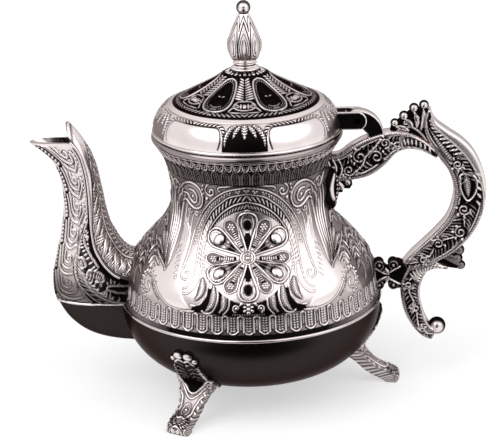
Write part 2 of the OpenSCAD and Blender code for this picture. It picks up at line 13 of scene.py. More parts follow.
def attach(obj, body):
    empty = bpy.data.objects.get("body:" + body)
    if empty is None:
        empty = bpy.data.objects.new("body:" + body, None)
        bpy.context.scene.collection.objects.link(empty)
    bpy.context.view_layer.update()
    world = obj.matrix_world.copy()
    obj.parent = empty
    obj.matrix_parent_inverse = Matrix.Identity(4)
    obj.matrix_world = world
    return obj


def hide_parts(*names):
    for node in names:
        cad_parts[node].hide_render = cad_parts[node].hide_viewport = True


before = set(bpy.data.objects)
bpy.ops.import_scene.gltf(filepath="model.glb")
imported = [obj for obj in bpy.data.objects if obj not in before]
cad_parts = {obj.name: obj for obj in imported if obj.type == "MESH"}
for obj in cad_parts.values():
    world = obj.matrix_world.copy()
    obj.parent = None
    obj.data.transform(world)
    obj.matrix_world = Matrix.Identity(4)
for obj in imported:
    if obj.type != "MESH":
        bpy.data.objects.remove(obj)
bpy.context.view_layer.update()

LOG = logging.getLogger("coffee_pot")
MM = 0.001
Points = Sequence[Sequence[float]]


# ---------------------------------------------------------------- shared shapes


def ease(t: np.ndarray | float) -> np.ndarray | float:
    """Smooth step from 0 to 1 along half a cosine."""
    return (1 - np.cos(np.pi * np.clip(t, 0, 1))) / 2


def spline(stations: Points, t: np.ndarray) -> np.ndarray:
    """Catmull-Rom curve through stations.

    Args:
        stations: Points of any dimension, in order.
        t: Places along the curve, 0 at the first station and 1 at the last.

    Returns:
        One row for each t.
    """
    p = np.asarray(stations, float)
    n = len(p) - 1
    t = np.atleast_1d(t) * n
    s = np.clip(np.floor(t).astype(int), 0, n - 1)
    u = (t - s)[:, None]
    a, b, c, d = p[np.maximum(s - 1, 0)], p[s], p[s + 1], p[np.minimum(s + 2, n)]
    bend = (d - a) / 2 + 1.5 * (b - c)
    return b + u * ((c - a) / 2 + u * ((a - 2.5 * b + 2 * c - d / 2) + u * bend))


def smooth_path(points: Points, spacing: float = 0.6, closed: bool = False) -> np.ndarray:
    """Even-looking curve through a few points of a chart.

    Args:
        points: Chart points in mm.
        spacing: Wanted distance between the returned points in mm.
        closed: Whether the curve returns to its first point.

    Returns:
        The curve's points, one row each.
    """
    p = np.asarray(points, float)
    if closed:
        p = np.vstack([p[-1:], p, p[:2]])
    if len(p) < 3:
        n = max(2, int(np.linalg.norm(p[-1] - p[0]) / spacing) + 1)
        return p[0] + (p[-1] - p[0]) * np.linspace(0, 1, n)[:, None]
    run = np.linalg.norm(np.diff(p, axis=0), axis=1).sum()
    n = max(4, int(run / spacing))
    low, high = (1 / (len(p) - 1), 1 - 1 / (len(p) - 1)) if closed else (0, 1)
    return spline(p, np.linspace(low, high, n + 1))


def arc(centre: Sequence[float], size: float | Sequence[float], start: float,
        end: float) -> np.ndarray:
    """Points of a circular or oval arc in a chart.

    Args:
        centre: Chart point.
        size: Radius, or the two half axes, in mm.
        start: First angle in degrees, counted from the chart's first axis.
        end: Last angle in degrees.

    Returns:
        The arc's points.
    """
    rx, ry = (size, size) if np.isscalar(size) else size
    n = max(4, int(abs(math.radians(end - start)) * max(rx, ry) / 0.5))
    w = np.radians(np.linspace(start, end, n + 1))
    return np.stack([centre[0] + rx * np.cos(w), centre[1] + ry * np.sin(w)], axis=1)


def curl(centre: Sequence[float], outer: float, inner: float, start: float,
         turn: float) -> np.ndarray:
    """Points of a spiral that winds inward.

    Args:
        centre: Chart point in the spiral's middle.
        outer: Radius at the start in mm.
        inner: Radius at the end in mm.
        start: Angle of the start in degrees.
        turn: Degrees it turns, negative for clockwise.

    Returns:
        The spiral's points.
    """
    n = max(8, int(abs(turn) / 12))
    t = np.linspace(0, 1, n + 1)
    r = outer + (inner - outer) * t ** 0.8
    w = np.radians(start + turn * t)
    return np.stack([centre[0] + r * np.cos(w), centre[1] + r * np.sin(w)], axis=1)


def turned(points: Points, angle: float, about: Sequence[float] = (0, 0)) -> np.ndarray:
    """Chart points turned by an angle in degrees about a chart point."""
    c, s = math.cos(math.radians(angle)), math.sin(math.radians(angle))
    p = np.asarray(points, float) - about
    return np.stack([c * p[:, 0] - s * p[:, 1], s * p[:, 0] + c * p[:, 1]], axis=1) + about


def profile(r: np.ndarray, z: np.ndarray) -> tuple[np.ndarray, np.ndarray, np.ndarray]:
    """Radius, height and running length of a turned line."""
    return r, z, np.concatenate([[0], np.cumsum(np.hypot(np.diff(r), np.diff(z)))])


def folded(grid: np.ndarray) -> np.ndarray:
    """A half grid joined to its mirror image at its first column."""
    return np.concatenate([grid[:, ::-1], grid[:, 1:]], axis=1)


# ---------------------------------------------------------------- embossing


class Relief:
    """Raised and sunk work on a grid of surface points.

    Every stroke is given in the chart of the surface, in mm, and its width is true on the
    surface. The height is in mm over the plain surface, and the shine runs from 0, a black
    recess, to 1, a rubbed bright face; some pieces also set it by place as painted shade and
    painted highlight.
    """

    GROUP = 4  # legs of a path that share one window of the grid
    PLAIN = 60  # distance between veins, in mm, that leaves a leaflet without any

    def __init__(self, surface: Callable, us: np.ndarray, vs: np.ndarray, to_uv: Callable,
                 ground: float) -> None:
        """Samples the surface.

        Args:
            surface: Gives surface points in mm for arrays of u and v.
            us: Evenly spaced values of u.
            vs: Evenly spaced values of v.
            to_uv: Gives (u, v) rows for chart points.
            ground: Shine of the plain surface.
        """
        self.surface, self.us, self.vs, self.to_uv = surface, us, vs, to_uv
        self.u, self.v = np.meshgrid(us, vs, indexing="ij")
        self.base = surface(self.u, self.v)
        du, dv = np.gradient(self.base, axis=0), np.gradient(self.base, axis=1)
        self.step_u = np.maximum(np.linalg.norm(du, axis=2), 1e-4)
        self.step_v = np.maximum(np.linalg.norm(dv, axis=2), 1e-4)
        normal = np.cross(du, dv)
        self.normal = normal / np.maximum(np.linalg.norm(normal, axis=2, keepdims=True), 1e-9)
        self.height = np.zeros(self.u.shape)
        self.shine = np.full(self.u.shape, float(ground))

    @staticmethod
    def _span(at: np.ndarray, reach: np.ndarray, low: int, high: int) -> tuple[int, int]:
        """First and last grid line within reach of some places, kept between two others."""
        return max(int((at - reach).min()), low), min(int((at + reach).max()) + 2, high)

    def _near(self, path: np.ndarray, reach: float) -> tuple | None:
        """Grid points near a chart path.

        Args:
            path: Chart points.
            reach: Largest distance of interest in mm.

        Returns:
            The grid window, and for its points the distance, the run along the path and the
            side in mm, and the path's length; None where the path misses the grid.
        """
        uv = self.to_uv(np.asarray(path, float))
        line = self.surface(uv[:, 0], uv[:, 1])
        nu, nv = self.u.shape
        i = (uv[:, 0] - self.us[0]) / (self.us[1] - self.us[0])
        j = (uv[:, 1] - self.vs[0]) / (self.vs[1] - self.vs[0])
        ci, cj = np.clip(i, 0, nu - 1).astype(int), np.clip(j, 0, nv - 1).astype(int)
        ri, rj = reach / self.step_u[ci, cj] + 1, reach / self.step_v[ci, cj] + 1
        lo_i, hi_i = self._span(i, ri, 0, nu)
        lo_j, hi_j = self._span(j, rj, 0, nv)
        if lo_i >= hi_i or lo_j >= hi_j:
            return None
        shape = (hi_i - lo_i, hi_j - lo_j)
        near, run, side = np.full(shape, 1e3), np.zeros(shape), np.zeros(shape)
        leg = np.diff(line, axis=0)
        length = np.linalg.norm(leg, axis=1)
        start = np.concatenate([[0], np.cumsum(length)])
        for k in range(0, len(leg), self.GROUP):
            e = min(k + self.GROUP, len(leg))
            a0, a1 = self._span(i[k:e + 1], ri[k:e + 1], lo_i, hi_i)
            b0, b1 = self._span(j[k:e + 1], rj[k:e + 1], lo_j, hi_j)
            if a0 >= a1 or b0 >= b1:
                continue
            grid = self.base[a0:a1, b0:b1]
            up = self.normal[a0:a1, b0:b1]
            win = (slice(a0 - lo_i, a1 - lo_i), slice(b0 - lo_j, b1 - lo_j))
            for q in range(k, e):
                if length[q] < 1e-6:
                    continue
                way = leg[q] / length[q]
                to = grid - line[q]
                along = np.clip(to @ way, 0, length[q])
                off = to - along[..., None] * way
                gap = np.sqrt((off ** 2).sum(2))
                closer = gap < near[win]
                near[win] = np.where(closer, gap, near[win])
                run[win] = np.where(closer, start[q] + along, run[win])
                hand = (np.cross(way, off) * up).sum(2)
                side[win] = np.where(closer, np.sign(hand) * gap, side[win])
        return (slice(lo_i, hi_i), slice(lo_j, hi_j)), near, run, side, start[-1]

    def _lay(self, win: tuple, cover: np.ndarray, height: np.ndarray,
             shine: np.ndarray | float) -> None:
        """Puts a form on the grid: where cover is 1 the form's height and shine hold."""
        h = self.height[win]
        self.height[win] = np.where(cover > 0, np.maximum(h, height), h)
        self.shine[win] = self.shine[win] * (1 - cover) + shine * cover

    def _gutter(self, win: tuple, near: np.ndarray, half: float, gutter: float) -> None:
        """Darkens and sinks a thin line just outside a form of the given half width."""
        if gutter <= 0:
            return
        edge = np.clip(1 - np.abs(near - half - gutter * 0.5) / (gutter * 0.8), 0, 1)
        self.shine[win] *= 1 - 0.92 * edge
        self.height[win] -= 0.12 * edge * (self.height[win] < 0.2)

    def wire(self, path: Points, half: float = 0.45, rise: float = 0.34, gutter: float = 0.45,
             shine: float = 1.0, smooth: bool = True, taper: float = 0.0) -> None:
        """Raises a round wire along a path.

        Args:
            path: Chart points.
            half: Half width in mm.
            rise: Height in mm.
            gutter: Width of the dark line beside it in mm.
            shine: Shine of its top.
            smooth: Whether the points are joined by a smooth curve.
            taper: Share of the length over which both ends thin out.
        """
        found = self._near(smooth_path(path) if smooth else path, half + gutter * 1.4)
        if found is None:
            return
        win, near, run, _, total = found
        wide = np.full(near.shape, half)
        if taper > 0:
            wide = wide * np.clip(np.minimum(run, total - run) / (taper * total), 0.25, 1)
        self._gutter(win, near, half, gutter)
        x = np.clip(near / wide, 0, 1)
        self._lay(win, (x < 1) * np.clip(1.35 * (1 - x ** 3), 0, 1), rise * np.sqrt(1 - x ** 2),
                  shine)

    def cut(self, path: Points, half: float, depth: float, dark: float = 0.03) -> None:
        """Engraves a dark line along a path."""
        found = self._near(smooth_path(path), half * 1.2)
        if found is None:
            return
        win, near, _, _, _ = found
        x = np.clip(1 - near / half, 0, 1)
        self.height[win] -= depth * x
        cover = np.clip(1.5 * x, 0, 1)
        self.shine[win] = self.shine[win] * (1 - cover) + dark * cover

    def rope(self, path: Points, half: float, pitch: float, rise: float = 0.36, lean: float = 0.9,
             gutter: float = 0.3, share: float = 0.62, floor: float = 0.04) -> None:
        """Raises a row of slanted bars, as of a twisted rope.

        Args:
            path: Chart points of the middle line.
            half: Half width in mm.
            pitch: Distance between bars in mm.
            rise: Height in mm.
            lean: How far a bar slants, per mm of width.
            gutter: Width of the dark line on each side in mm.
            share: Part of the pitch that is bar.
            floor: Shine between the bars.
        """
        found = self._near(smooth_path(path), half + gutter * 1.4)
        if found is None:
            return
        win, near, run, side, _ = found
        self._gutter(win, near, half, gutter)
        x = np.clip(near / half, 0, 1)
        phase = np.abs(((run + lean * side) / pitch) % 1 - 0.5) * 2
        bar = np.clip((1 - phase / share) * 1.8, 0, 1)
        body = (x < 1) * np.sqrt(1 - x ** 4)
        self._lay(win, (x < 1) * 1.0, body * rise * (0.15 + 0.85 * np.sqrt(bar)),
                  floor + (1 - floor) * bar * body)

    def beads(self, path: Points, radius: float, pitch: float, rise: float | None = None) -> None:
        """Raises a row of round beads along a path."""
        found = self._near(smooth_path(path), radius * 1.8)
        if found is None:
            return
        win, near, run, _, total = found
        count = max(1, round(total / pitch))
        step = total / count
        d = np.sqrt(near ** 2 + ((run / step) % 1 - 0.5) ** 2 * step ** 2)
        x = np.clip(d / radius, 0, 1)
        self.shine[win] *= 1 - 0.9 * (near < radius * 1.25)
        self._lay(win, np.clip(1.6 * (1 - x ** 2), 0, 1),
                  (rise or radius * 0.8) * np.sqrt(1 - x ** 2), 1.0)

    def leaf(self, path: Points, half: float, rise: float = 0.5, pitch: float = 1.3,
             lean: float = 1.1, blunt: float = 0.5, vein: float = 0.35, gutter: float = 0.5,
             shine: float = 0.95, lobes: float = 0.0) -> None:
        """Raises a pointed leaf with a mid rib and slanted veins.

        Args:
            path: Chart points of the mid rib, from the stalk to the tip.
            half: Largest half width in mm.
            rise: Height in mm.
            pitch: Distance between veins in mm.
            lean: How far the veins slant towards the tip, per mm of width.
            blunt: Where along the leaf it is widest, 0 at the stalk and 1 at the tip.
            vein: Depth of the veins as a share of the height.
            gutter: Width of the dark line round it in mm.
            shine: Shine of its high parts.
            lobes: How deep the outline is scalloped, as a share of the width.
        """
        found = self._near(smooth_path(path), half * 1.1 + gutter * 1.4)
        if found is None:
            return
        win, near, run, _, total = found
        t = np.clip(run / total, 0, 1)
        power = math.log(0.5) / math.log(np.clip(blunt, 0.05, 0.95))
        wave = (run - lean * near) / pitch
        wide = half * np.sin(np.pi * t ** power) ** 0.75 + 1e-3
        if lobes > 0:
            wide = wide * (1 - lobes * (0.5 - 0.5 * np.cos(2 * np.pi * wave)))
        x = near / wide
        rim = np.clip(1 - np.abs(near - wide - gutter * 0.5) / (gutter * 0.8 + 1e-6), 0,
                      1) * (t > 0) * (t < 1)
        self.shine[win] *= 1 - 0.92 * rim
        self.height[win] -= 0.1 * rim * (self.height[win] < 0.2)
        inside = x < 1
        x = np.clip(x, 0, 1)
        ribs = np.clip(0.5 + 0.9 * np.cos(2 * np.pi * wave), 0, 1)
        rib = np.clip(1 - near / 0.28, 0, 1)
        form = np.sqrt(1 - x ** 2) * rise * (1 - vein * (1 - ribs)) + 0.12 * rib
        tone = shine * np.clip((0.1 + 0.9 * ribs) * (1 - 0.6 * x ** 4) + rib, 0, 1)
        self._lay(win, inside * 1.0, form, tone)

    def leaflet(self, path: Points, half: float, rise: float, gutter: float, blunt: float = 0.5,
                shine: float = 0.95) -> None:
        """Raises a small leaf without veins; the values are those of a leaf."""
        self.leaf(path, half, rise, self.PLAIN, 0, blunt, 0, gutter, shine)

    def dome(self, centre: Sequence[float], size: float | Sequence[float], rise: float = 0.8,
             turn: float = 0.0, gutter: float = 0.5, shine: float = 1.0) -> None:
        """Raises a round or oval boss.

        Args:
            centre: Chart point.
            size: Radius or two half axes in mm.
            rise: Height in mm.
            turn: Angle of the first axis in degrees.
            gutter: Width of the dark ring round it in mm.
            shine: Shine of the boss.
        """
        ra, rb = (size, size) if np.isscalar(size) else size
        c, s = math.cos(math.radians(turn)), math.sin(math.radians(turn))
        reach = max(ra, rb) + gutter * 1.5
        tips = np.array([[centre[0] - 0.02, centre[1]], [centre[0] + 0.02, centre[1]]])
        found = self._near(tips, reach)
        if found is None:
            return
        win = found[0]
        uv = self.to_uv(np.array([[centre[0], centre[1]], [centre[0] + 0.5, centre[1]],
                                  [centre[0], centre[1] + 0.5]]))
        p = self.surface(uv[:, 0], uv[:, 1])
        ea, eb = (way / np.linalg.norm(way) for way in (p[1] - p[0], p[2] - p[0]))
        off = self.base[win] - p[0]
        a, b = off @ ea, off @ eb
        x, y = (c * a + s * b) / ra, (-s * a + c * b) / rb
        q = np.sqrt(x * x + y * y)
        scale = min(ra, rb)
        edge = np.clip(1 - np.abs((q - 1) * scale - gutter * 0.5) / (gutter * 0.8 + 1e-6), 0, 1)
        self.shine[win] *= 1 - 0.95 * edge
        self.height[win] -= 0.12 * edge * (self.height[win] < 0.2)
        inside = q < 1
        q = np.clip(q, 0, 1)
        self._lay(win, inside * np.clip(1.5 * (1 - q ** 6), 0, 1), rise * (1 - q ** 2) ** 0.5,
                  shine)

    def ring_of_domes(self, centre: Sequence[float], radius: float, start: float, step: float,
                      count: int,
                      size: float | Sequence[float], rise: float, gutter: float) -> None:
        """Raises bosses round a point, ovals with their first axis outward.

        Args:
            centre: Chart point in the middle.
            radius: Distance of the bosses from it in mm.
            start: Angle of the first boss in degrees.
            step: Angle from one boss to the next.
            count: Number of bosses.
            size: Radius or two half axes of a boss in mm.
            rise: Height in mm.
            gutter: Width of the dark ring round each in mm.
        """
        for k in range(count):
            w = math.radians(start + step * k)
            spot = (centre[0] + radius * math.cos(w), centre[1] + radius * math.sin(w))
            self.dome(spot, size, rise, 0.0 if np.isscalar(size) else math.degrees(w), gutter)

    def area(self, outline: Points, shine: float, lift: float = 0.0,
             closed_smooth: bool = False) -> None:
        """Gives the inside of an outline one shine and lift.

        Args:
            outline: Chart points of the closed outline.
            shine: Shine inside.
            lift: Height to set inside in mm.
            closed_smooth: Whether the outline is a smooth closed curve.
        """
        p = smooth_path(outline, closed=True) if closed_smooth else np.asarray(outline, float)
        uv = self.to_uv(p)
        x, y = uv[:, 0], uv[:, 1]
        pick_u = (self.us >= x.min()) & (self.us <= x.max())
        pick_v = (self.vs >= y.min()) & (self.vs <= y.max())
        if not pick_u.any() or not pick_v.any():
            return
        iu, iv = np.where(pick_u)[0], np.where(pick_v)[0]
        win = (slice(iu[0], iu[-1] + 1), slice(iv[0], iv[-1] + 1))
        u, v = self.u[win], self.v[win]
        inside = np.zeros(u.shape, bool)
        for k in range(len(x)):
            x0, y0, x1, y1 = x[k - 1], y[k - 1], x[k], y[k]
            if y0 == y1:
                continue
            inside ^= ((y0 > v) != (y1 > v)) & (u < (x1 - x0) * (v - y0) / (y1 - y0) + x0)
        self.shine[win] = np.where(inside, shine, self.shine[win])
        self.height[win] = np.where(inside, lift, self.height[win])

    def soften(self) -> None:
        """Rounds off heights and shine a little, as pressing and polishing do."""
        for grid, own, share in ((self.height, 4, 8), (self.shine, 6, 10)):
            g = np.pad(grid, 1, mode="edge")
            mid = slice(1, -1)
            around = (g[:-2, mid], g[2:, mid], g[mid, :-2], g[mid, 2:])
            grid[:] = sum(around, own * g[mid, mid]) / share


# ---------------------------------------------------------------- meshes


@dataclass
class Skin:
    """Points of a closed skin: n cross loops of k points, in mm, with a shine for each point."""

    points: np.ndarray
    shine: np.ndarray
    round: bool = False


def linked(name: str, data: bpy.types.ID) -> bpy.types.Object:
    """A new object of the scene that shows the data."""
    made = bpy.data.objects.new(name, data)
    bpy.context.scene.collection.objects.link(made)
    return made


def set_shine(mesh: bpy.types.Mesh, tone: np.ndarray) -> None:
    """Stores the shine of each point of a mesh."""
    mesh.attributes.new("shine", "FLOAT", "POINT").data.foreach_set("value",
                                                                    tone.astype(np.float32))


def finished(name: str, mesh: bpy.types.Mesh, metal: bpy.types.Material,
             sharp: float | None = None) -> bpy.types.Object:
    """Makes a smooth object of a mesh.

    Args:
        name: Name of the object.
        mesh: The mesh, with its shine.
        metal: Material of every face.
        sharp: Edges that bend more than this many degrees stay crisp; None rounds them all.

    Returns:
        The linked object.
    """
    mesh.polygons.foreach_set("use_smooth", np.ones(len(mesh.polygons), bool))
    if sharp is not None:
        mesh.set_sharp_from_angle(angle=math.radians(sharp))
    mesh.materials.clear()
    mesh.materials.append(metal)
    return linked(name, mesh)


def skin_object(name: str, skin: Skin, material: bpy.types.Material,
                sharp: float = 62.0) -> bpy.types.Object:
    """Makes a closed mesh from cross loops.

    Args:
        name: Name of the object.
        skin: Cross loops, each closed; the first and last are capped unless the skin is round.
        material: Material of every face.
        sharp: Edges that bend more than this many degrees stay crisp.

    Returns:
        The linked object, its faces pointing outward.
    """
    n, k = skin.points.shape[:2]
    co = skin.points.reshape(-1, 3) * MM
    rows = np.arange(n if skin.round else n - 1)[:, None]
    cols = np.arange(k)[None, :]
    nxt, row2 = (cols + 1) % k, (rows + 1) % n
    quads = np.stack([rows * k + cols, row2 * k + cols, row2 * k + nxt, rows * k + nxt],
                     axis=-1).reshape(-1, 4)
    a, b, c, d = (co[quads[:, m]] for m in range(4))
    volume = sum(np.einsum("ij,ij->i", a, np.cross(*pair)) for pair in ((b, c), (c, d))).sum()
    if volume < 0:
        quads = quads[:, ::-1]
    loops = [quads.reshape(-1)]
    sizes = [np.full(len(quads), 4)]
    if not skin.round:
        first, last = np.arange(k), np.arange(k) + (n - 1) * k
        caps = (first, last[::-1]) if volume >= 0 else (first[::-1], last)
        loops += list(caps)
        sizes += [np.array([k, k])]
    flat, size = np.concatenate(loops), np.concatenate(sizes)
    mesh = bpy.data.meshes.new(name)
    mesh.vertices.add(len(co))
    mesh.vertices.foreach_set("co", co.astype(np.float32).ravel())
    mesh.loops.add(len(flat))
    mesh.loops.foreach_set("vertex_index", flat.astype(np.int32))
    mesh.polygons.add(len(size))
    mesh.polygons.foreach_set("loop_start",
                              np.concatenate([[0], np.cumsum(size)[:-1]]).astype(np.int32))
    mesh.update(calc_edges=True)
    set_shine(mesh, skin.shine.reshape(-1))
    return finished(name, mesh, material, sharp)


def turned_skin(points: np.ndarray, angle: float) -> np.ndarray:
    """Points in mm turned about the pot's axis by an angle in degrees."""
    c, s = math.cos(math.radians(angle)), math.sin(math.radians(angle))
    x, y, z = np.moveaxis(points, -1, 0)
    return np.stack([c * x - s * y, s * x + c * y, z], axis=-1)


def turned_part(name: str, line: Points, material: bpy.types.Material,
                steps: int = 192) -> bpy.types.Object:
    """Makes a turned part from the closed outline of its section.

    Args:
        name: Name of the object.
        line: Section as (radius, height) in mm, closed.
        material: Material of every face.
        steps: Number of sections round the axis.

    Returns:
        The linked object.
    """
    p = np.asarray(line, float)
    w = np.linspace(0, 2 * np.pi, steps, endpoint=False)[:, None]
    points = np.stack([p[:, 0] * np.cos(w), p[:, 0] * np.sin(w), p[:, 1] + 0 * w], axis=2)
    return skin_object(name, Skin(points, np.ones(points.shape[:2]), True), material)


def relief_ring(name: str, art: Relief, folds: int, metal: bpy.types.Material,
                wall: float) -> bpy.types.Object:
    """Repeats a mirrored piece of relief round the axis and closes it with a plain inner wall.

    Args:
        name: Name of the object.
        art: Relief from one mirror plane to the next.
        folds: Number of mirrored pairs round the axis.
        metal: Material of every face.
        wall: Thickness of the sheet in mm.

    Returns:
        The linked object.
    """
    columns, nv = art.height.shape[0] - 1, art.height.shape[1]
    height = np.concatenate([art.height, art.height[::-1][1:-1]])
    shine = np.concatenate([art.shine, art.shine[::-1][1:-1]])
    height, shine = np.tile(height, (folds, 1)), np.tile(shine, (folds, 1))
    n = 2 * columns * folds
    uu, vv = np.meshgrid(np.arange(n) * 2 * np.pi / n, art.vs, indexing="ij")
    base = art.surface(uu, vv)
    r, z = np.hypot(base[0, :, 0], base[0, :, 1]), base[0, :, 2]
    dr, dz = np.gradient(r), np.gradient(z)
    size = np.hypot(dr, dz)
    out = np.stack([np.sin(uu) * dz / size, -np.cos(uu) * dz / size, -dr / size + 0 * uu], axis=2)
    outer = base + out * height[..., None]
    keep = np.unique(np.linspace(0, nv - 1, 9).astype(int))
    inner = (base - out * wall)[:, keep][:, ::-1]
    points = np.concatenate([outer, inner], axis=1)
    tone = np.concatenate([shine, np.full(inner.shape[:2], 0.7)], axis=1)
    return skin_object(name, Skin(points, tone, True), metal, 75)


def turned_relief(line: tuple[np.ndarray, ...], half: float, columns: int, rows: int,
                  ground: float) -> Relief:
    """Starts the relief of a turned line, from one mirror plane to the next.

    Args:
        line: Radius, height and running length.
        half: Angle between the planes in radians.
        columns: Number of steps round the axis.
        rows: Number of points along the line.
        ground: Shine of the plain surface.

    Returns:
        The empty relief.
    """
    r, z, b = line

    def surface(u: np.ndarray, v: np.ndarray) -> np.ndarray:
        """Surface points for an angle from the front and a length up the line."""
        rr, zz = np.interp(v, b, r), np.interp(v, b, z)
        return np.stack([rr * np.sin(u), -rr * np.cos(u), zz], axis=-1)

    def to_uv(p: np.ndarray) -> np.ndarray:
        """Chart point to angle and length."""
        return np.stack([p[:, 0] / np.interp(p[:, 1], b, r), p[:, 1]], axis=1)

    return Relief(surface, np.linspace(0, half, columns + 1), np.linspace(0, b[-1], rows), to_uv,
                  ground)


# ---------------------------------------------------------------- finishes


def lighten_away_from_front(made: bpy.types.Object, span: float, least: float) -> None:
    """Lifts the shine of a turned piece away from its front, a painted highlight on its sides and
    back.

    Args:
        made: The piece.
        span: Angle in degrees on either side of the front that keeps its own shine.
        least: Least shine beyond it.
    """
    at = np.empty(3 * len(made.data.vertices), np.float32)
    made.data.vertices.foreach_get("co", at)
    x, y, _ = at.reshape(-1, 3).T
    shine = made.data.attributes["shine"].data
    tone = np.empty(len(x), np.float32)
    shine.foreach_get("value", tone)
    away = ease((np.degrees(np.abs(np.arctan2(x, -y))) - span) / 8)
    shine.foreach_set("value", np.maximum(tone, least * away).astype(np.float32))


def bare_tree(owner: bpy.types.ID) -> bpy.types.NodeTree:
    """The emptied node tree of a material or world."""
    owner.use_nodes = True
    owner.node_tree.nodes.clear()
    return owner.node_tree


def node(tree: bpy.types.NodeTree, kind: str, **values: object) -> bpy.types.Node:
    """Adds a node and sets its inputs by name, an underscore for each blank."""
    made = tree.nodes.new(kind)
    for name, value in values.items():
        made.inputs[name.replace("_", " ")].default_value = value
    return made


@dataclass(frozen=True)
class Metal:
    """A metal finish set by each point's shine: blackened recesses, rubbed high faces, and the
    painted shade and painted highlight some pieces store there.

    Attributes:
        name: Name of the material.
        bright: Colour of rubbed faces, linear.
        middle: Colour half way.
        black: Colour of recesses.
        rough_bright: Roughness of rubbed faces.
        rough_black: Roughness of recesses.
        worked: Whether the mesh carries its own shine; otherwise noise alone varies it.
        grain: Strength of the fine bump.
        edge: Tint of the reflection at grazing angles.
        cloud: How far the broad noise shifts the shine.
        plain: Shine of a mesh that carries none.
    """

    name: str
    bright: tuple[float, float, float]
    middle: tuple[float, float, float]
    black: tuple[float, float, float]
    rough_bright: float = 0.2
    rough_black: float = 0.5
    worked: bool = True
    grain: float = 0.05
    edge: tuple[float, float, float] = (0.5, 0.46, 0.46)
    cloud: float = 0.16
    plain: float = 0.9

    def material(self) -> bpy.types.Material:
        """Builds the node material."""
        mat = bpy.data.materials.new(self.name)
        tree = bare_tree(mat)
        link = tree.links.new
        out = node(tree, "ShaderNodeOutputMaterial")
        shader = node(tree, "ShaderNodeBsdfPrincipled", Metallic=1.0, Specular_Tint=(*self.edge, 1))
        link(shader.outputs["BSDF"], out.inputs["Surface"])
        coords = node(tree, "ShaderNodeTexCoord")
        clouds = node(tree, "ShaderNodeTexNoise", Scale=90.0, Detail=4.0)
        specks = node(tree, "ShaderNodeTexNoise", Scale=1500.0, Detail=2.0)
        for noise in (clouds, specks):
            link(coords.outputs["Object"], noise.inputs["Vector"])
        # Mixes broad noise with the stored shine, which holds blackened recesses, rubbed faces and,
        # on some pieces, painted shade and painted highlight.
        wear_and_painted_light = node(tree, "ShaderNodeMath")
        wear_and_painted_light.operation = "MULTIPLY_ADD"
        link(clouds.outputs["Fac"], wear_and_painted_light.inputs[0])
        wear_and_painted_light.inputs[1].default_value = self.cloud
        if self.worked:
            held, shift = node(tree, "ShaderNodeAttribute"), node(tree, "ShaderNodeMath")
            held.attribute_name = "shine"
            shift.operation = "SUBTRACT"
            shift.inputs[1].default_value = self.cloud / 2
            link(held.outputs["Fac"], shift.inputs[0])
            link(shift.outputs[0], wear_and_painted_light.inputs[2])
        else:
            wear_and_painted_light.inputs[2].default_value = self.plain
        ramp = node(tree, "ShaderNodeValToRGB")
        stops = ramp.color_ramp.elements
        for stop, position, colour in ((stops[0], 0.13, self.black), (stops[1], 0.93, self.bright)):
            stop.position, stop.color = position, (*colour, 1)
        stops.new(0.5).color = (*self.middle, 1)
        link(wear_and_painted_light.outputs[0], ramp.inputs["Fac"])
        link(ramp.outputs["Color"], shader.inputs["Base Color"])
        rough = node(tree, "ShaderNodeMapRange", To_Min=self.rough_black, To_Max=self.rough_bright)
        link(wear_and_painted_light.outputs[0], rough.inputs["Value"])
        link(rough.outputs["Result"], shader.inputs["Roughness"])
        bump = node(tree, "ShaderNodeBump", Strength=self.grain, Distance=0.0002)
        link(specks.outputs["Fac"], bump.inputs["Height"])
        link(bump.outputs["Normal"], shader.inputs["Normal"])
        return mat


SILVER = Metal("embossed_silver", (0.82, 0.745, 0.735), (0.27, 0.235, 0.23),
               (0.006, 0.0045, 0.0045))
CAST = Metal("cast_silver", (0.78, 0.71, 0.70), (0.24, 0.21, 0.205), (0.006, 0.0045, 0.0045), 0.2,
             0.5)
# Near-black nickel for the plain bowl, the spout's base and its flange: the darkness is a painted
# reflection on plain polished metal.
PAINTED_DARK_NICKEL = Metal("nickel_painted_dark", (0.031, 0.0258, 0.0235), (0.025, 0.0205, 0.0188),
               (0.01, 0.008, 0.0075), 0.32, 0.44,
               worked=False)
RIM = Metal("polished_rim", (0.6, 0.54, 0.53), (0.5, 0.45, 0.44), (0.05, 0.04, 0.04), 0.12, 0.3,
            worked=False)
SHADED = Metal("shaded_rim", (0.3, 0.265, 0.26), (0.2, 0.18, 0.175), (0.02, 0.017, 0.017), 0.14,
               0.3, worked=False)
# Near-black pin metal: its darkness is painted shade, as on the hinge plates.
PAINTED_DARK_PIN = Metal("pin_painted_dark", (0.03, 0.026, 0.026), (0.02, 0.018, 0.018), (0.01, 0.009, 0.009),
                0.25, 0.4,
                worked=False)
POLISHED = Metal("polished_silver", (0.84, 0.765, 0.755), (0.27, 0.235, 0.23),
                 (0.006, 0.0045, 0.0045), 0.17, 0.4,
                 grain=0.01)
# Hinge plate metal: black where the shine is low as painted shade and reflection, bright at the
# edges as painted highlight.
PLATE = Metal("edged_plate", (0.80, 0.73, 0.72), (0.3, 0.27, 0.265), (0.012, 0.010, 0.010), 0.16,
              0.34, grain=0.02)
STEEL = Metal("steel", (0.5, 0.49, 0.48), (0.4, 0.39, 0.38), (0.1, 0.1, 0.1), 0.3, 0.4,
              worked=False)


# ---------------------------------------------------------------- pot body


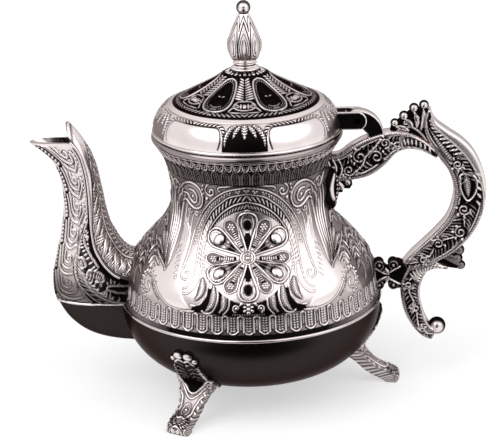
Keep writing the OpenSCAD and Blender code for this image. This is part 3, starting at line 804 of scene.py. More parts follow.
@dataclass
class Body:
    """The pot's body: a plain bowl, dark as a painted reflection, under an embossed belly and neck.
    """

    seam_r: float = 69.2
    seam_z: float = 51.6
    belly_r: float = 66.6
    shoulder_z: float = 65.0
    waist_r: float = 41.0
    waist_z: float = 108.0
    top_z: float = 139.7
    top_r: float = 49.0
    bowl_z: float = 13.5
    bowl_r: float = 30.0
    lip: float = 3.2
    wall: float = 1.2
    medal_b: float = 44.4
    tongues: int = 52
    arches: int = 52
    scallops: int = 68
    columns: int = 300
    rows: int = 284
    table_z: np.ndarray = field(init=False)
    table_r: np.ndarray = field(init=False)
    table_b: np.ndarray = field(init=False)

    def __post_init__(self) -> None:
        """Tabulates the side line by its length."""
        z = np.linspace(self.seam_z, self.top_z, 1500)
        low = self.belly_r + (self.seam_r - self.belly_r) * (
            np.clip(self.shoulder_z - z, 0, None) / (self.shoulder_z - self.seam_z)) ** 2
        mid = self.waist_r + (self.belly_r - self.waist_r) * (
            1 - ease((z - self.shoulder_z) / (self.waist_z - self.shoulder_z)))
        high = self.waist_r + (self.top_r - self.waist_r) * (
            np.clip(z - self.waist_z, 0, None) / (self.top_z - self.waist_z)) ** 3
        r = np.where(z < self.shoulder_z, low, np.where(z < self.waist_z, mid, high))
        self.table_r, self.table_z, self.table_b = profile(r, z)

    def radius(self, b: np.ndarray) -> np.ndarray:
        """Outer radius at a length along the side line."""
        return np.interp(b, self.table_b, self.table_r)

    def reach(self, z: np.ndarray) -> np.ndarray:
        """Outer radius of bowl, belly and neck at a height."""
        bowl = self.bowl_r + (self.seam_r - self.bowl_r) * np.sqrt(
            np.clip(1 - (1 - (z - self.bowl_z) / (self.seam_z - self.lip - self.bowl_z)) ** 2, 0,
                    1))
        return np.where(z < self.seam_z, np.where(z > self.bowl_z, bowl, 0),
                        np.interp(z, self.table_z, self.table_r))

    def push_out(self, p: np.ndarray, slack: float, above: float = -math.inf) -> np.ndarray:
        """Moves points that are inside the pot out into its sheet.

        Args:
            p: Points in mm.
            slack: How deep in the sheet they end, in mm.
            above: Height from which points are moved.

        Returns:
            The points, with the others as they were.
        """
        r = np.hypot(p[..., 0], p[..., 1])
        grow = np.maximum((self.reach(p[..., 2]) - slack) / np.maximum(r, 1e-6), 1.0)
        grow = np.where(p[..., 2] > above, grow, 1.0)
        return p * np.stack([grow, grow, np.ones_like(grow)], axis=-1)

    def surface(self, u: np.ndarray, v: np.ndarray) -> np.ndarray:
        """Surface points for an angle u from the front, in radians, and a length v up the side."""
        r, z = self.radius(v), np.interp(v, self.table_b, self.table_z)
        return np.stack([r * np.sin(u), -r * np.cos(u), z], axis=-1)

    def to_uv(self, p: np.ndarray) -> np.ndarray:
        """Chart point (across, up) in mm to (angle, length)."""
        return np.stack([p[:, 0] / self.radius(p[:, 1]), p[:, 1]], axis=1)

    def band(self, angle: float, offsets: Points, level: float) -> np.ndarray:
        """Chart points of a motif that stands at an angle in a band.

        Args:
            angle: Angle of the motif's middle in degrees.
            offsets: Points (across, up) in mm from the motif's foot.
            level: Length up the side of the motif's foot.

        Returns:
            Chart points.
        """
        o = np.asarray(offsets, float)
        b = level + o[:, 1]
        mid = self.radius(level + o[:, 1].mean())
        return np.stack([(math.radians(angle) + o[:, 0] / mid) * self.radius(b), b], axis=1)

    # -- ornament, drawn on the quarter from the front to the handle

    def medallion(self, art: Relief) -> None:
        """The round rosette of six petals in the middle of the front."""
        c = (0.0, self.medal_b)
        art.area(arc(c, (22.5, 24.8), -180, 180), 0.86)
        for angle in (90, 32, -31, -90):
            self.petal(art, c, angle)
        for angle in (62, -4, -60):
            self.floret(art, c, angle)
        for half_r in (3.6, 2.5):
            art.wire(arc(c, half_r, -100, 100), 0.42, 0.55, 0.35)
        art.dome(c, 1.0, 0.6, gutter=0.3)
        art.ring_of_domes(c, 1.75, -60, 60, 3, 0.42, 0.5, 0.25)

    def petal(self, art: Relief, c: Sequence[float], angle: float) -> None:
        """One petal: a double outline with a beaded edge, a boss and a pointed facet."""
        tip, wide = 23.6, 4.9
        side = [(4.0, 0.7), (8.0, 1.7), (13.0, 3.4), (17.0, 4.7), (20.0, wide), (22.6, 3.4),
                (tip, 0.0)]
        outline = side + [(x, -y) for x, y in reversed(side[:-1])]
        inner = [(x - 0.9 if x > 15 else x + 2.4, y * 0.62) for x, y in outline]
        art.area(turned(np.add(outline, c), angle, c), 0.9, 0.12, closed_smooth=True)
        art.beads(turned(np.add([(x * 0.985, y * 0.83) for x, y in outline], c), angle, c), 0.34,
                  0.95, 0.3)
        art.wire(turned(np.add(outline, c), angle, c), 0.42, 0.55, 0.5)
        art.wire(turned(np.add(inner, c), angle, c), 0.25, 0.38, 0.3)
        oval = abs(angle) == 90
        spot = turned([(c[0] + 17.6, c[1])], angle, c)[0]
        if not oval:
            art.dome(turned([(c[0] + 16.7, c[1])], angle, c)[0], (3.5, 2.9), 0.3, angle, 0.4, 0.03)
        art.dome(spot, (2.9, 2.4) if oval else (2.7, 2.7), 1.0, angle, 0.3, 0.05 if oval else 0.95)
        facet = turned(np.add([(13.4, 0.0), (9.5, 0.0), (5.0, 0.0)], c), angle, c)
        art.leaf(facet, 1.25, 0.55, 9.0, 0.0, 0.3, 0.0, 0.35, 0.08 if oval else 0.5)

    def floret(self, art: Relief, c: Sequence[float], angle: float) -> None:
        """A small flower on a ticked stalk between two petals."""
        spot = turned([(c[0] + 18.0, c[1])], angle, c)[0]
        lens = [(6.5, 0.0), (11.5, 1.4), (16.0, 3.0), (19.0, 3.3), (21.4, 1.8), (22.0, 0.0)]
        outline = lens + [(x, -y) for x, y in reversed(lens[1:-1])]
        art.area(turned(np.add(outline, c), angle, c), 0.36, 0.0, closed_smooth=True)
        art.wire(turned(np.add(outline, c), angle, c), 0.3, 0.36, 0.35)
        art.ring_of_domes(spot, 1.35, angle, 60, 6, 0.62, 0.42, 0.25)
        art.dome(spot, 0.6, 0.55, gutter=0.25)
        art.rope(turned(np.add([(7.0, 0.0), (15.2, 0.0)], c), angle, c), 1.1, 1.15, 0.3, 0.0, 0.2)

    ARCH_OUT = ((0.0, 82.0), (8.5, 80.4), (13.7, 77.8), (18.2, 74.1), (22.6, 69.1), (26.2, 63.8),
                (28.9, 58.4),
                (31.0, 52.0), (32.8, 45.0), (34.8, 38.5), (36.6, 33.5), (36.4, 30.6), (34.0, 29.6),
                (31.9, 31.2),
                (32.4, 33.6), (33.9, 33.4))
    ARCH_TWO = ((0.0, 78.3), (8.4, 76.5), (13.5, 72.9), (18.1, 68.7), (21.1, 64.2), (23.6, 59.6),
                (25.4, 54.5),
                (26.6, 49.0), (27.4, 43.0), (28.2, 37.0), (29.6, 31.0), (32.2, 26.4), (35.2, 24.8))
    ARCH_THREE = ((0.0, 73.8), (6.3, 72.2), (12.2, 68.3), (16.3, 64.0), (19.6, 59.1), (22.0, 54.0),
                  (23.8, 48.2),
                  (24.7, 42.0), (24.9, 36.5), (25.6, 32.0), (28.6, 26.4), (32.4, 22.9),
                  (35.7, 22.4))
    ARCH_IN = ((0.0, 69.3), (6.2, 67.3), (10.9, 64.4), (14.1, 60.8), (17.4, 56.4), (19.9, 51.6),
               (21.8, 46.2),
               (22.5, 41.4), (22.2, 36.6), (21.0, 32.0), (20.9, 26.9), (22.3, 22.2), (24.9, 18.7),
               (28.0, 17.1),
               (31.0, 17.2))

    def arch_bands(self, art: Relief) -> None:
        """The arches round the medallion, strong at the top and faint at the sides."""
        middle = np.add(self.ARCH_TWO[:9], self.ARCH_THREE[:9]) / 2
        art.rope(middle[:5], 1.5, 2.5, 0.36, 1.0, 0.3, floor=0.05)
        art.rope(middle[4:], 1.3, 2.5, 0.25, 1.0, 0.15, floor=0.62)
        middle = np.add(self.ARCH_THREE[:9], self.ARCH_IN[:9]) / 2
        art.rope(middle[:6], 0.95, 1.7, 0.3, 1.0, 0.3, floor=0.1)
        art.rope(middle[5:], 0.95, 1.9, 0.25, 1.0, 0.15, floor=0.6)
        lane = smooth_path(np.add(self.ARCH_OUT[:8], self.ARCH_TWO[:8]) / 2, 3.4)
        for k, spot in enumerate(lane):
            way = lane[min(k + 1, len(lane) - 1)] - lane[max(k - 1, 0)]
            lean = math.degrees(math.atan2(way[1], way[0]))
            for side in (-1, 0, 1):
                bit = turned([(spot[0] + 0.85 * side,
                               spot[1] - 0.5 * (side == 0) + 0.45 * (side != 0))], lean, spot)[0]
                art.dome(bit, 0.5, 0.34, gutter=0.2)
        for line, half, split in ((self.ARCH_OUT, 0.42, 5), (self.ARCH_TWO, 0.36, 5),
                                  (self.ARCH_THREE, 0.42, 5),
                                  (self.ARCH_IN, 0.5, 6)):
            smooth = smooth_path(line)
            cut = int(len(smooth) * split / len(line))
            art.wire(smooth[cut - 1:], half * 0.9, 0.34, 0.24, smooth=False)
            art.wire(smooth[:cut], half, 0.5, 0.5, smooth=False)

    def flowing_lines(self, art: Relief) -> None:
        """The long folds from the neck to the point beside the arches, and the sweep below."""
        sweep = [(36.4, 62), (38.5, 54), (40.6, 46), (43.6, 38.5), (48.6, 31.0), (52.6, 33.0),
                 (58.0, 31.0),
                 (61.0, 27.4), (56.6, 24.0), (52.0, 18.6), (45.6, 15.0), (38.0, 14.2), (31.5, 15.2),
                 (35.5, 19.5),
                 (37.5, 24.5), (38.4, 31.0), (37.0, 38.0), (34.6, 46.0), (32.4, 54.0)]
        art.area(sweep, 1.0, 0.28)
        folds = (((36.0, 76.0), (40.2, 63.5), (42.6, 52.0), (46.4, 38.0), (48.3, 32.4)),
                 ((38.4, 77.5), (42.6, 65.5), (44.2, 54.0), (46.9, 40.5), (48.5, 32.6)),
                 ((41.0, 79.0), (45.4, 67.0), (46.0, 56.0), (47.6, 43.0), (48.8, 33.0)),
                 ((44.5, 80.0), (48.4, 69.0), (48.2, 58.0), (48.4, 45.0), (49.0, 34.0)),
                 ((48.5, 80.0), (52.6, 69.0), (51.4, 59.0), (49.9, 47.0), (49.4, 36.0)))
        for k, fold in enumerate(folds):
            art.wire(fold, 0.8 - 0.06 * k, 0.5, 0.3 + 0.06 * k, 1.0, taper=0.5)
        for start, end in (((30.0, 66.5), (33.3, 52.0)), ((32.6, 69.0), (36.0, 50.0)),
                           ((34.4, 73.0), (38.6, 50.0))):
            bend = ((start[0] + end[0]) / 2 + 0.6, (start[1] + end[1]) / 2)
            art.wire([start, bend, end], 0.55, 0.36, 0.18, 1.0, taper=0.5)
        art.wire([(66, 44.4), (59.0, 40.2), (55.2, 37.4), (52.7, 35.7), (49.8, 33.7), (48.6, 31.6)],
                 0.4, 0.4, 0.5)
        for k in range(7):
            b = 29.5 + 2.7 * k
            art.dome((40.6 - 0.18 * k, b), (0.75, 0.5), 0.4, 40 * (-1) ** k, 0.22)
            art.dome((39.5 - 0.18 * k, b + 1.2), 0.4, 0.35, gutter=0.2)

    def foot_scrolls(self, art: Relief) -> None:
        """Leaves, hooks and the flower crown between the medallion and the tongues."""
        art.area([(0, 13.4), (0, 19.8), (6.0, 20.6), (10.5, 25.0), (16.5, 26.5), (21.0, 27.0),
                  (21.8, 22.5),
                  (25.0, 18.2), (30.0, 16.4), (31.0, 13.6)], 0.1)
        art.leaf([(23.9, 32.5), (24.0, 27.5), (25.4, 23.0), (28.5, 19.7)], 1.9, 0.5, 1.2, 0.9, 0.5,
                 0.7)
        art.leaf([(17.8, 29.5), (17.8, 24.0), (18.8, 19.0), (22.4, 14.9)], 2.1, 0.55, 1.2, 0.9,
                 0.55, 0.8)
        art.leaf([(12.9, 27.5), (12.4, 22.0), (12.9, 17.5), (15.4, 14.6)], 1.7, 0.5, 1.15, 0.9,
                 0.55, 0.8)
        art.wire([(16.2, 28.5), (15.6, 23.3), (16.6, 18.5), (19.0, 14.9), (22.3, 13.8),
                  (24.4, 15.0)], 0.45, 0.5, 0.5)
        art.wire([(10.4, 28.0), (9.6, 22.0), (10.4, 17.0), (13.0, 13.9)], 0.4, 0.45, 0.5)
        art.wire(curl((6.2, 17.4), 2.1, 0.5, -80, 420), 0.42, 0.45, 0.4)
        art.wire([(4.3, 18.8), (2.6, 20.3), (0.0, 21.0)], 0.38, 0.42, 0.4)
        art.dome((6.2, 17.4), 0.55, 0.5, gutter=0.3)
        art.ring_of_domes((0.0, 17.0), 2.1, -80, 55, 4, (0.95, 0.6), 0.5, 0.3)
        art.dome((0.0, 17.0), 0.9, 0.6, gutter=0.3)
        art.beads([(0.0, 14.0), (8.6, 14.1)], 0.4, 1.2, 0.35)
        scroll = (61.6, 21.6)
        art.area(arc(scroll, 6.0, 0, 355), 0.8)
        art.wire([(29.0, 14.2), (34.0, 13.7), (38.5, 13.7), (43.6, 14.4), (48.0, 16.2),
                  (52.0, 19.4), (55.2, 23.2),
                  (58.4, 26.2), (62.2, 26.6), (65.4, 24.4), (66.2, 20.8), (64.2, 18.0),
                  (61.0, 18.2), (59.8, 20.6),
                  (61.2, 22.4)], 0.42, 0.45, 0.42)
        art.ring_of_domes(scroll, 6.3, 165, -24, 11, (1.1, 0.6), 0.5, 0.3)
        art.beads([(52.0, 16.2), (56.0, 19.6), (58.0, 23.0)], 0.4, 1.3)

    def side_leaves(self, art: Relief) -> None:
        """The sprays of acanthus that sweep round to the handle and the spout."""
        art.area([(49.2, 31.5), (54.0, 36.6), (60.0, 40.6), (62, 36), (64, 28), (66.5, 22.0),
                  (72, 13.5), (120, 13.5),
                  (120, 62), (92, 72), (70, 84), (56, 84), (50, 66), (48.8, 48)], 0.46)
        art.leaf([(50.2, 36.5), (51.2, 43.0), (53.4, 50.5)], 1.9, 0.6, 1.05, 0.5, 0.55, 0.8, 0.4,
                 0.95)
        art.leaflet([(53.0, 39.0), (55.2, 46.0), (59.0, 52.5)], 1.4, 0.5, 0.4, 0.5, 0.9)
        for shift, size in ((0.0, 1.0), (1.0, 1.08), (2.0, 1.15), (3.0, 1.2)):
            x, y = 13.2 * shift, -1.6 * shift
            for k in range(5):
                low = 1 - 0.16 * k
                spray = [(53.0 + 0.7 * k, 39.4 - 2.0 * k),
                         (53.0 + 6.0 * low + 0.7 * k, 39.4 - 2.0 * k + 4.6 * low),
                         (53.0 + 12.6 * low + 0.7 * k, 39.4 - 2.0 * k + 2.6 * low),
                         (53.0 + 17.4 * low + 0.7 * k, 39.4 - 2.0 * k - 5.0 * low)]
                path = np.add(np.multiply(np.subtract(spray, (53, 36)), size), (53 + x, 36 + y))
                if k in (0, 2):
                    art.leaf(path, 1.9, 0.65, 1.15, 0.9, 0.45, 0.85, 0.4, 0.95)
                else:
                    art.wire(path, 0.62, 0.55, 0.42, 0.95, taper=0.3)
        for x, y in ((60, 54), (68, 60), (76, 50), (58, 66), (86, 58), (96, 50), (70, 70),
                     (82, 68)):
            art.leaf([(x - 4, y - 2.2), (x, y + 1.8), (x + 5, y + 1.0), (x + 9, y - 4.0)], 1.7, 0.6,
                     1.2, 0.9, 0.45,
                     0.85, 0.45, 0.9)
            art.wire([(x - 3, y - 4.0), (x + 1, y - 0.8), (x + 4.6, y - 1.6), (x + 7, y - 5.0)],
                     0.5, 0.5, 0.4, 0.9,
                     taper=0.3)
        for path in ([(70.0, 24.0), (74.0, 27.0), (78.0, 23.4), (77.0, 17.0)],
                     [(82.0, 23.0), (86.0, 26.0), (90.0, 22.4), (89.0, 16.0)],
                     [(94.0, 22.0), (98.0, 25.0), (102.0, 21.4), (101.0, 15.0)]):
            art.leaf(path, 1.9, 0.6, 1.2, 0.9, 0.45, 0.85, 0.45, 0.9)

    def shoulder_scrolls(self, art: Relief) -> None:
        """The curls, beads and big volutes between the arches and the neck."""
        art.wire([(1.0, 83.4), (6.0, 83.2), (11.0, 82.3), (13.8, 81.9), (15.0, 80.4), (13.6, 79.3)],
                 0.42, 0.42, 0.45)
        art.wire([(14.6, 84.0), (17.6, 84.0), (20.6, 82.6), (22.0, 80.2), (21.4, 77.6),
                  (19.2, 76.5), (17.4, 77.9),
                  (17.9, 80.0), (19.6, 79.8)], 0.45, 0.45, 0.45)
        art.dome((19.4, 78.7), 0.8, 0.5, gutter=0.3)
        for spot, r in (((23.6, 81.6), 0.75), ((24.0, 79.3), 0.75), ((23.4, 76.9), 0.8),
                        ((21.4, 74.6), 1.0),
                        ((24.4, 73.9), 0.8)):
            art.dome(spot, r, 0.55, gutter=0.35)
        art.area([(39.0, 77.4), (35.1, 81.0), (30.1, 81.9), (26.1, 79.5), (24.6, 76.0),
                  (24.3, 72.2), (25.9, 69.4),
                  (29.4, 68.6), (33.3, 69.6), (35.4, 72.4), (34.0, 75.6)], 0.55, 0.1)
        art.wire([(40.5, 77.0), (37.6, 79.8), (33.2, 81.9), (29.0, 81.6), (25.6, 79.2),
                  (24.1, 75.6), (24.2, 71.6),
                  (26.4, 68.7), (29.8, 68.0), (33.2, 69.6), (35.8, 71.6), (38.2, 70.6)], 0.6, 0.6,
                 0.6)
        art.wire([(33.0, 77.8), (30.2, 77.6), (28.1, 75.6), (27.7, 72.8), (29.6, 70.9),
                  (32.0, 72.2), (34.2, 75.0),
                  (37.2, 75.2)], 0.55, 0.6, 0.6)
        art.dome((30.6, 74.4), 0.9, 0.55, gutter=0.4)
        art.wire(curl((33.2, 66.2), 1.8, 0.5, 200, 400), 0.35, 0.4, 0.35)
        art.wire(curl((28.4, 65.6), 1.7, 0.5, -20, -400), 0.35, 0.4, 0.35)
        art.wire([(42.6, 79.0), (45.6, 80.6), (48.2, 79.0), (48.6, 76.0), (46.2, 74.6),
                  (44.6, 76.2)], 0.45, 0.45, 0.45)
        art.wire([(52.0, 74.8), (50.2, 77.8), (51.8, 80.8), (55.4, 81.4), (58.0, 79.0),
                  (57.0, 76.2), (54.6, 76.6)],
                 0.5, 0.5, 0.5)
        art.leaf([(40.6, 73.6), (43.0, 69.6), (42.6, 64.0)], 1.5, 0.5, 1.3, 1.0, 0.45, 0.7)
        for k in range(5):
            art.dome((59.6 + 1.4 * k, 82.0 - 1.6 * k), 0.7, 0.5, gutter=0.35)

    def tongue_band(self, art: Relief) -> None:
        """Upright tongues with a column of leaf chevrons above the seam."""
        # Painted shade: the ground below the tongues, and more so their foot, is dark facing front
        # and back and lighter towards the sides.
        low = art.v < 13.5
        art.shine[low] = (0.26 + 0.45 * ease((np.degrees(art.u) - 8) / 35))[low]
        foot = art.v < 3.4
        art.shine[foot] = (0.05 + 0.4 * ease((np.degrees(art.u) - 22) / 45))[foot]
        step = 360 / self.tongues
        for k in range(int(90 / step) + 2):
            angle = k * step
            tongue = [(-2.7, 9.0), (-2.7, 2.8), (-2.3, 1.3), (-1.2, 0.3), (0, 0), (1.2, 0.3),
                      (2.3, 1.3), (2.7, 2.8),
                      (2.7, 9.0)]
            inner = [(x * 0.62, 1.1 + y * 0.86) for x, y in tongue]
            # Painted shade: the tongues are darker facing front and back than towards the sides.
            art.area(self.band(angle, tongue, 3.6), 0.14 + 0.52 * float(ease((angle - 10) / 32)))
            art.wire(self.band(angle, tongue, 3.6), 0.46, 0.5, 0.4)
            art.wire(self.band(angle, inner, 3.6), 0.2, 0.26, 0.2, 0.7)
            for row in range(6):
                level = 5.4 + 1.32 * row
                for side in (-1, 1):
                    spot = self.band(angle, [(side * 0.72, 0.0)], level)[0]
                    art.dome(spot, (0.78, 0.42), 0.36, side * 38, 0.2)
            hood = [(-1.35, -8.6), (-1.35, -1.6), (-0.9, -0.4), (0, 0), (0.9, -0.4), (1.35, -1.6),
                    (1.35, -8.6)]
            art.wire(self.band(angle + step / 2, hood, 13.2), 0.42, 0.5, 0.3)
            art.leaflet(self.band(angle + step / 2, [(0, -7.8), (0, -1.2)], 13.2), 0.6, 0.35, 0.2,
                        0.5, 0.75)

    def neck_bands(self, art: Relief) -> None:
        """Arched tongues and hanging scallops under the rim."""
        # The neck bands' ground is dark all round: partly blackened ground between the motifs,
        # partly a painted reflection for the dark the neck mirrors.
        art.area([(-1, 83.0), (80, 83.0), (80, 92.4), (-1, 92.4)], 0.17)
        art.area([(-1, 92.4), (80, 92.4), (80, 98.6), (-1, 98.6)], 0.1)
        step = 360 / self.arches
        for k in range(int(90 / step) + 2):
            angle = k * step
            hood = [(-1.9, 0), (-1.9, 5.2), (-1.4, 7.0), (-0.6, 7.9), (0, 8.1), (0.6, 7.9),
                    (1.4, 7.0), (1.9, 5.2),
                    (1.9, 0)]
            art.wire(self.band(angle, hood, 83.6), 0.28, 0.36, 0.3, 0.6)
            for row in range(7):
                for side in (-1, 1):
                    spot = self.band(angle, [(side * 0.5 * (1 + row % 2 * 0.5), 0.0)],
                                     84.4 + 0.95 * row)[0]
                    art.dome(spot, 0.32, 0.3, gutter=0.12, shine=0.6)
            bar = [(0, 0.4), (0, 6.2)]
            art.wire(self.band(angle + step / 2, bar, 83.4), 0.24, 0.24, 0.2, 0.4)
        step = 360 / self.scallops
        art.wire([(-1, 98.0), (80, 98.0)], 0.5, 0.4, 0.3)
        for k in range(int(90 / step) + 2):
            angle = k * step
            swag = [(-1.9, 5.4), (-1.7, 3.2), (-1.1, 1.0), (0, 0.2), (1.1, 1.0), (1.7, 3.2),
                    (1.9, 5.4)]
            art.wire(self.band(angle, swag, 92.2), 0.42, 0.5, 0.3)
            for side in (-1, 1):
                art.dome(self.band(angle, [(side * 0.75, 0.0)], 95.6)[0], 0.42, 0.45, gutter=0.2)
            art.dome(self.band(angle, [(0, 0.0)], 94.2)[0], (0.42, 0.7), 0.45, 90, gutter=0.2)
            art.dome(self.band(angle + step / 2, [(0, 0.0)], 92.8)[0], 0.42, 0.35, gutter=0.2)

    def quarter(self) -> Relief:
        """Draws the whole ornament on a quarter of the body."""
        us = np.linspace(0, math.pi / 2, self.columns + 1)
        vs = np.linspace(0, self.table_b[-1], self.rows + 1)
        art = Relief(self.surface, us, vs, self.to_uv, 0.5)
        # Painted light: the ground is lightest round the belly's bulge and darker towards the seam
        # and the neck, a painted highlight and painted shade.
        art.shine[:, :] = 0.42 + 0.44 * np.exp(-((art.v - 34) / 24) ** 2)
        self.side_leaves(art)
        self.flowing_lines(art)
        self.shoulder_scrolls(art)
        self.arch_bands(art)
        self.foot_scrolls(art)
        self.medallion(art)
        self.tongue_band(art)
        self.neck_bands(art)
        art.soften()
        return art

    def build(self, metal: bpy.types.Material) -> list[bpy.types.Object]:
        """Makes the four embossed quarters of the belly and neck, each round one side.

        Args:
            metal: Material of the embossed sheet.

        Returns:
            The four objects.
        """
        art = self.quarter()
        whole = lambda grid: np.tile(np.concatenate([grid[::-1], grid[1:]])[:-1], (2, 1))
        height, shine = whole(art.height), whole(art.shine)
        keep = np.unique(np.linspace(0, self.rows, 15).astype(int))
        slope = np.gradient(np.interp(art.vs, self.table_b, self.table_z), art.vs)
        grow = np.gradient(self.radius(art.vs), art.vs)
        made = []
        for k, name in enumerate(("front", "right", "back", "left")):
            index = np.arange(self.columns + 1) + (2 * k - 1) * self.columns // 2
            pick = (index + self.columns) % (4 * self.columns)
            uu, vv = np.meshgrid(index * (math.pi / 2) / self.columns, art.vs, indexing="ij")
            base = self.surface(uu, vv)
            out = np.stack([np.sin(uu) * slope, -np.cos(uu) * slope, -grow + 0 * uu], axis=2)
            outer = base + out * height[pick][..., None]
            inner = (base - out * self.wall)[:, keep][:, ::-1]
            points = np.concatenate([outer, inner], axis=1)
            tone = np.concatenate([shine[pick], np.full(inner.shape[:2], 0.55)], axis=1)
            made.append(skin_object("belly_" + name, Skin(points, tone), metal, 75))
        return made

    def bowl(self, metal: bpy.types.Material) -> bpy.types.Object:
        """The plain bowl under the seam, as a smooth turned sheet."""
        bottom_z, bottom_r = self.bowl_z, self.bowl_r
        high = self.seam_z - self.lip - bottom_z
        a = np.radians(np.linspace(0, 90, 40))
        outer = [(bottom_r + (self.seam_r - bottom_r) * math.sin(x),
                  bottom_z + high * (1 - math.cos(x))) for x in a]
        w = self.wall
        inner = [(bottom_r + (self.seam_r - bottom_r - w) * math.sin(x),
                  bottom_z + high - (high - w) * math.cos(x))
                 for x in a[::-1]]
        line = [(0.0, bottom_z)] + outer + [(self.seam_r, self.seam_z),
                                            (self.seam_r - w, self.seam_z)] + inner
        line += [(0.0, bottom_z + w)]
        return turned_part("bowl", line, metal)


# ---------------------------------------------------------------- castings


def inside_by(outline: Points, x: np.ndarray, y: np.ndarray) -> np.ndarray:
    """Signed distance to an outline, positive inside.

    Args:
        outline: Points of the closed outline.
        x: First coordinates.
        y: Second coordinates.

    Returns:
        Distances, of the shape of x.
    """
    p = np.asarray(outline, float)
    gap, inside = np.full(x.shape, 1e6), np.zeros(x.shape, bool)
    for k in range(len(p)):
        x0, y0, x1, y1 = *p[k - 1], *p[k]
        leg = (x1 - x0) ** 2 + (y1 - y0) ** 2
        if leg < 1e-12:
            continue
        s = np.clip(((x - x0) * (x1 - x0) + (y - y0) * (y1 - y0)) / leg, 0, 1)
        gap = np.minimum(gap, np.hypot(x - x0 - s * (x1 - x0), y - y0 - s * (y1 - y0)))
        if y0 != y1:
            inside ^= ((y0 > y) != (y1 > y)) & (x < (x1 - x0) * (y - y0) / (y1 - y0) + x0)
    return np.where(inside, gap, -gap)


class Casting:
    """A flat casting: a sheet of any outline with rounded edges and relief on its faces."""

    def __init__(self, outlines: Sequence[Points], half: float, edge: float, grid: float = 0.36,
                 ground: float = 0.1) -> None:
        """Lays a grid over the outlines.

        Args:
            outlines: Closed outlines in the casting's plane, in mm, joined into one.
            half: Half of the casting's thickness.
            edge: Radius of its rounded edges.
            grid: Spacing of the grid.
            ground: Shine of the plain casting.
        """
        every = np.vstack([np.asarray(o, float) for o in outlines])
        low, high = every.min(0) - 2 * grid, every.max(0) + 2 * grid
        us = np.arange(low[0], high[0], grid)
        vs = np.arange(low[1], high[1], grid)
        self.half, self.edge, self.grid = half, edge, grid
        self.art = Relief(lambda u, v: np.stack([u, v, 0 * u], axis=-1), us, vs, lambda p: p,
                          ground)
        self.depth = np.max([inside_by(o, self.art.u, self.art.v) for o in outlines], axis=0)

    def _sheet(self) -> tuple[np.ndarray, list[tuple[int, ...]]]:
        """Cuts the grid along the outline.

        Returns:
            Rows of (x, y, depth, height, shine), and the faces.
        """
        art, grid, d = self.art, self.grid, self.depth.copy()
        x, y = art.u.copy(), art.v.copy()
        gx, gy = np.gradient(d, grid)
        size = np.maximum(gx * gx + gy * gy, 0.3)
        rim = np.abs(d) < 0.28 * grid
        x[rim] -= (d * gx / size)[rim]
        y[rim] -= (d * gy / size)[rim]
        d[rim] = 0
        body = d >= 0
        index = np.full(d.shape, -1)
        index[body] = np.arange(body.sum())
        fields = np.stack([x, y, d, art.height, art.shine], axis=-1)
        points = list(fields[body])
        corners = [(0, 0), (1, 0), (1, 1), (0, 1)]
        nu, nv = (n - 1 for n in body.shape)
        stack = np.stack([body[i:nu + i, j:nv + j] for i, j in corners])
        count = stack.sum(0)
        full = np.argwhere(count == 4)
        faces = [tuple(int(index[i + a, j + b]) for a, b in corners) for i, j in full]
        cuts: dict[tuple, int] = {}
        for i, j in np.argwhere((count > 0) & (count < 4)):
            loop = []
            for k in range(4):
                here = (i + corners[k][0], j + corners[k][1])
                there = (i + corners[(k + 1) % 4][0], j + corners[(k + 1) % 4][1])
                if body[here]:
                    loop.append(int(index[here]))
                if body[here] != body[there]:
                    inner, outer = (here, there) if body[here] else (there, here)
                    if d[inner] == 0:
                        continue
                    key = (inner, outer)
                    if key not in cuts:
                        s = d[inner] / (d[inner] - d[outer])
                        cuts[key] = len(points)
                        points.append(fields[inner] + (fields[outer] - fields[inner]) * s)
                        points[-1][2] = 0
                    loop.append(cuts[key])
            loop = [v for n, v in enumerate(loop) if v != loop[n - 1]]
            if len(loop) > 2:
                faces.append(tuple(loop))
        return np.array(points), faces

    def build(self, name: str, metal: bpy.types.Material, wrap: Callable, back: float | None = None,
              wall_shine: float = 0.5) -> bpy.types.Object:
        """Makes the closed mesh.

        Args:
            name: Name of the object.
            metal: Material of every face.
            wrap: Gives points in mm for (x, y, distance from the middle plane).
            back: Distance of a plain back face behind the middle plane, or None where the back
                mirrors the front.
            wall_shine: Shine of the edge walls.

        Returns:
            The linked object.
        """
        points, faces = self._sheet()
        x, y, depth, height, shine = points.T
        e = np.clip(depth, 0, self.edge)
        level = self.half - self.edge + np.sqrt(np.maximum(self.edge ** 2 - (self.edge - e) ** 2,
                                                           0))
        front = level + height * np.clip(depth / 0.7, 0, 1)
        rear = -front if back is None else np.full(len(x), -back)
        n = len(x)
        co = np.concatenate([wrap(x, y, front), wrap(x, y, rear)]) * MM
        tone = np.concatenate([shine, shine if back is None else 0 * shine + wall_shine])
        edges: dict[tuple[int, int], int] = {}
        for face in faces:
            for a, b in zip(face, face[1:] + face[:1]):
                edges[(a, b)] = edges.get((a, b), 0) + 1
        walls = [(b, a, a + n, b + n) for a, b in edges if (b, a) not in edges]
        every = faces + [tuple(v + n for v in reversed(face)) for face in faces] + walls
        mesh = bpy.data.meshes.new(name)
        mesh.from_pydata(co.tolist(), [], every)
        set_shine(mesh, tone)
        close_up(mesh)
        return finished(name, mesh, metal, 55)


def close_up(mesh: bpy.types.Mesh, weld: float = 1e-7) -> None:
    """Welds doubled points of a mesh and turns its faces outward."""
    bm = bmesh.new()
    bm.from_mesh(mesh)
    bmesh.ops.remove_doubles(bm, verts=bm.verts, dist=weld)
    bmesh.ops.recalc_face_normals(bm, faces=bm.faces)
    if bm.calc_volume(signed=True) < 0:
        bmesh.ops.reverse_faces(bm, faces=bm.faces)
    bm.to_mesh(mesh)
    bm.free()


# ---------------------------------------------------------------- handle


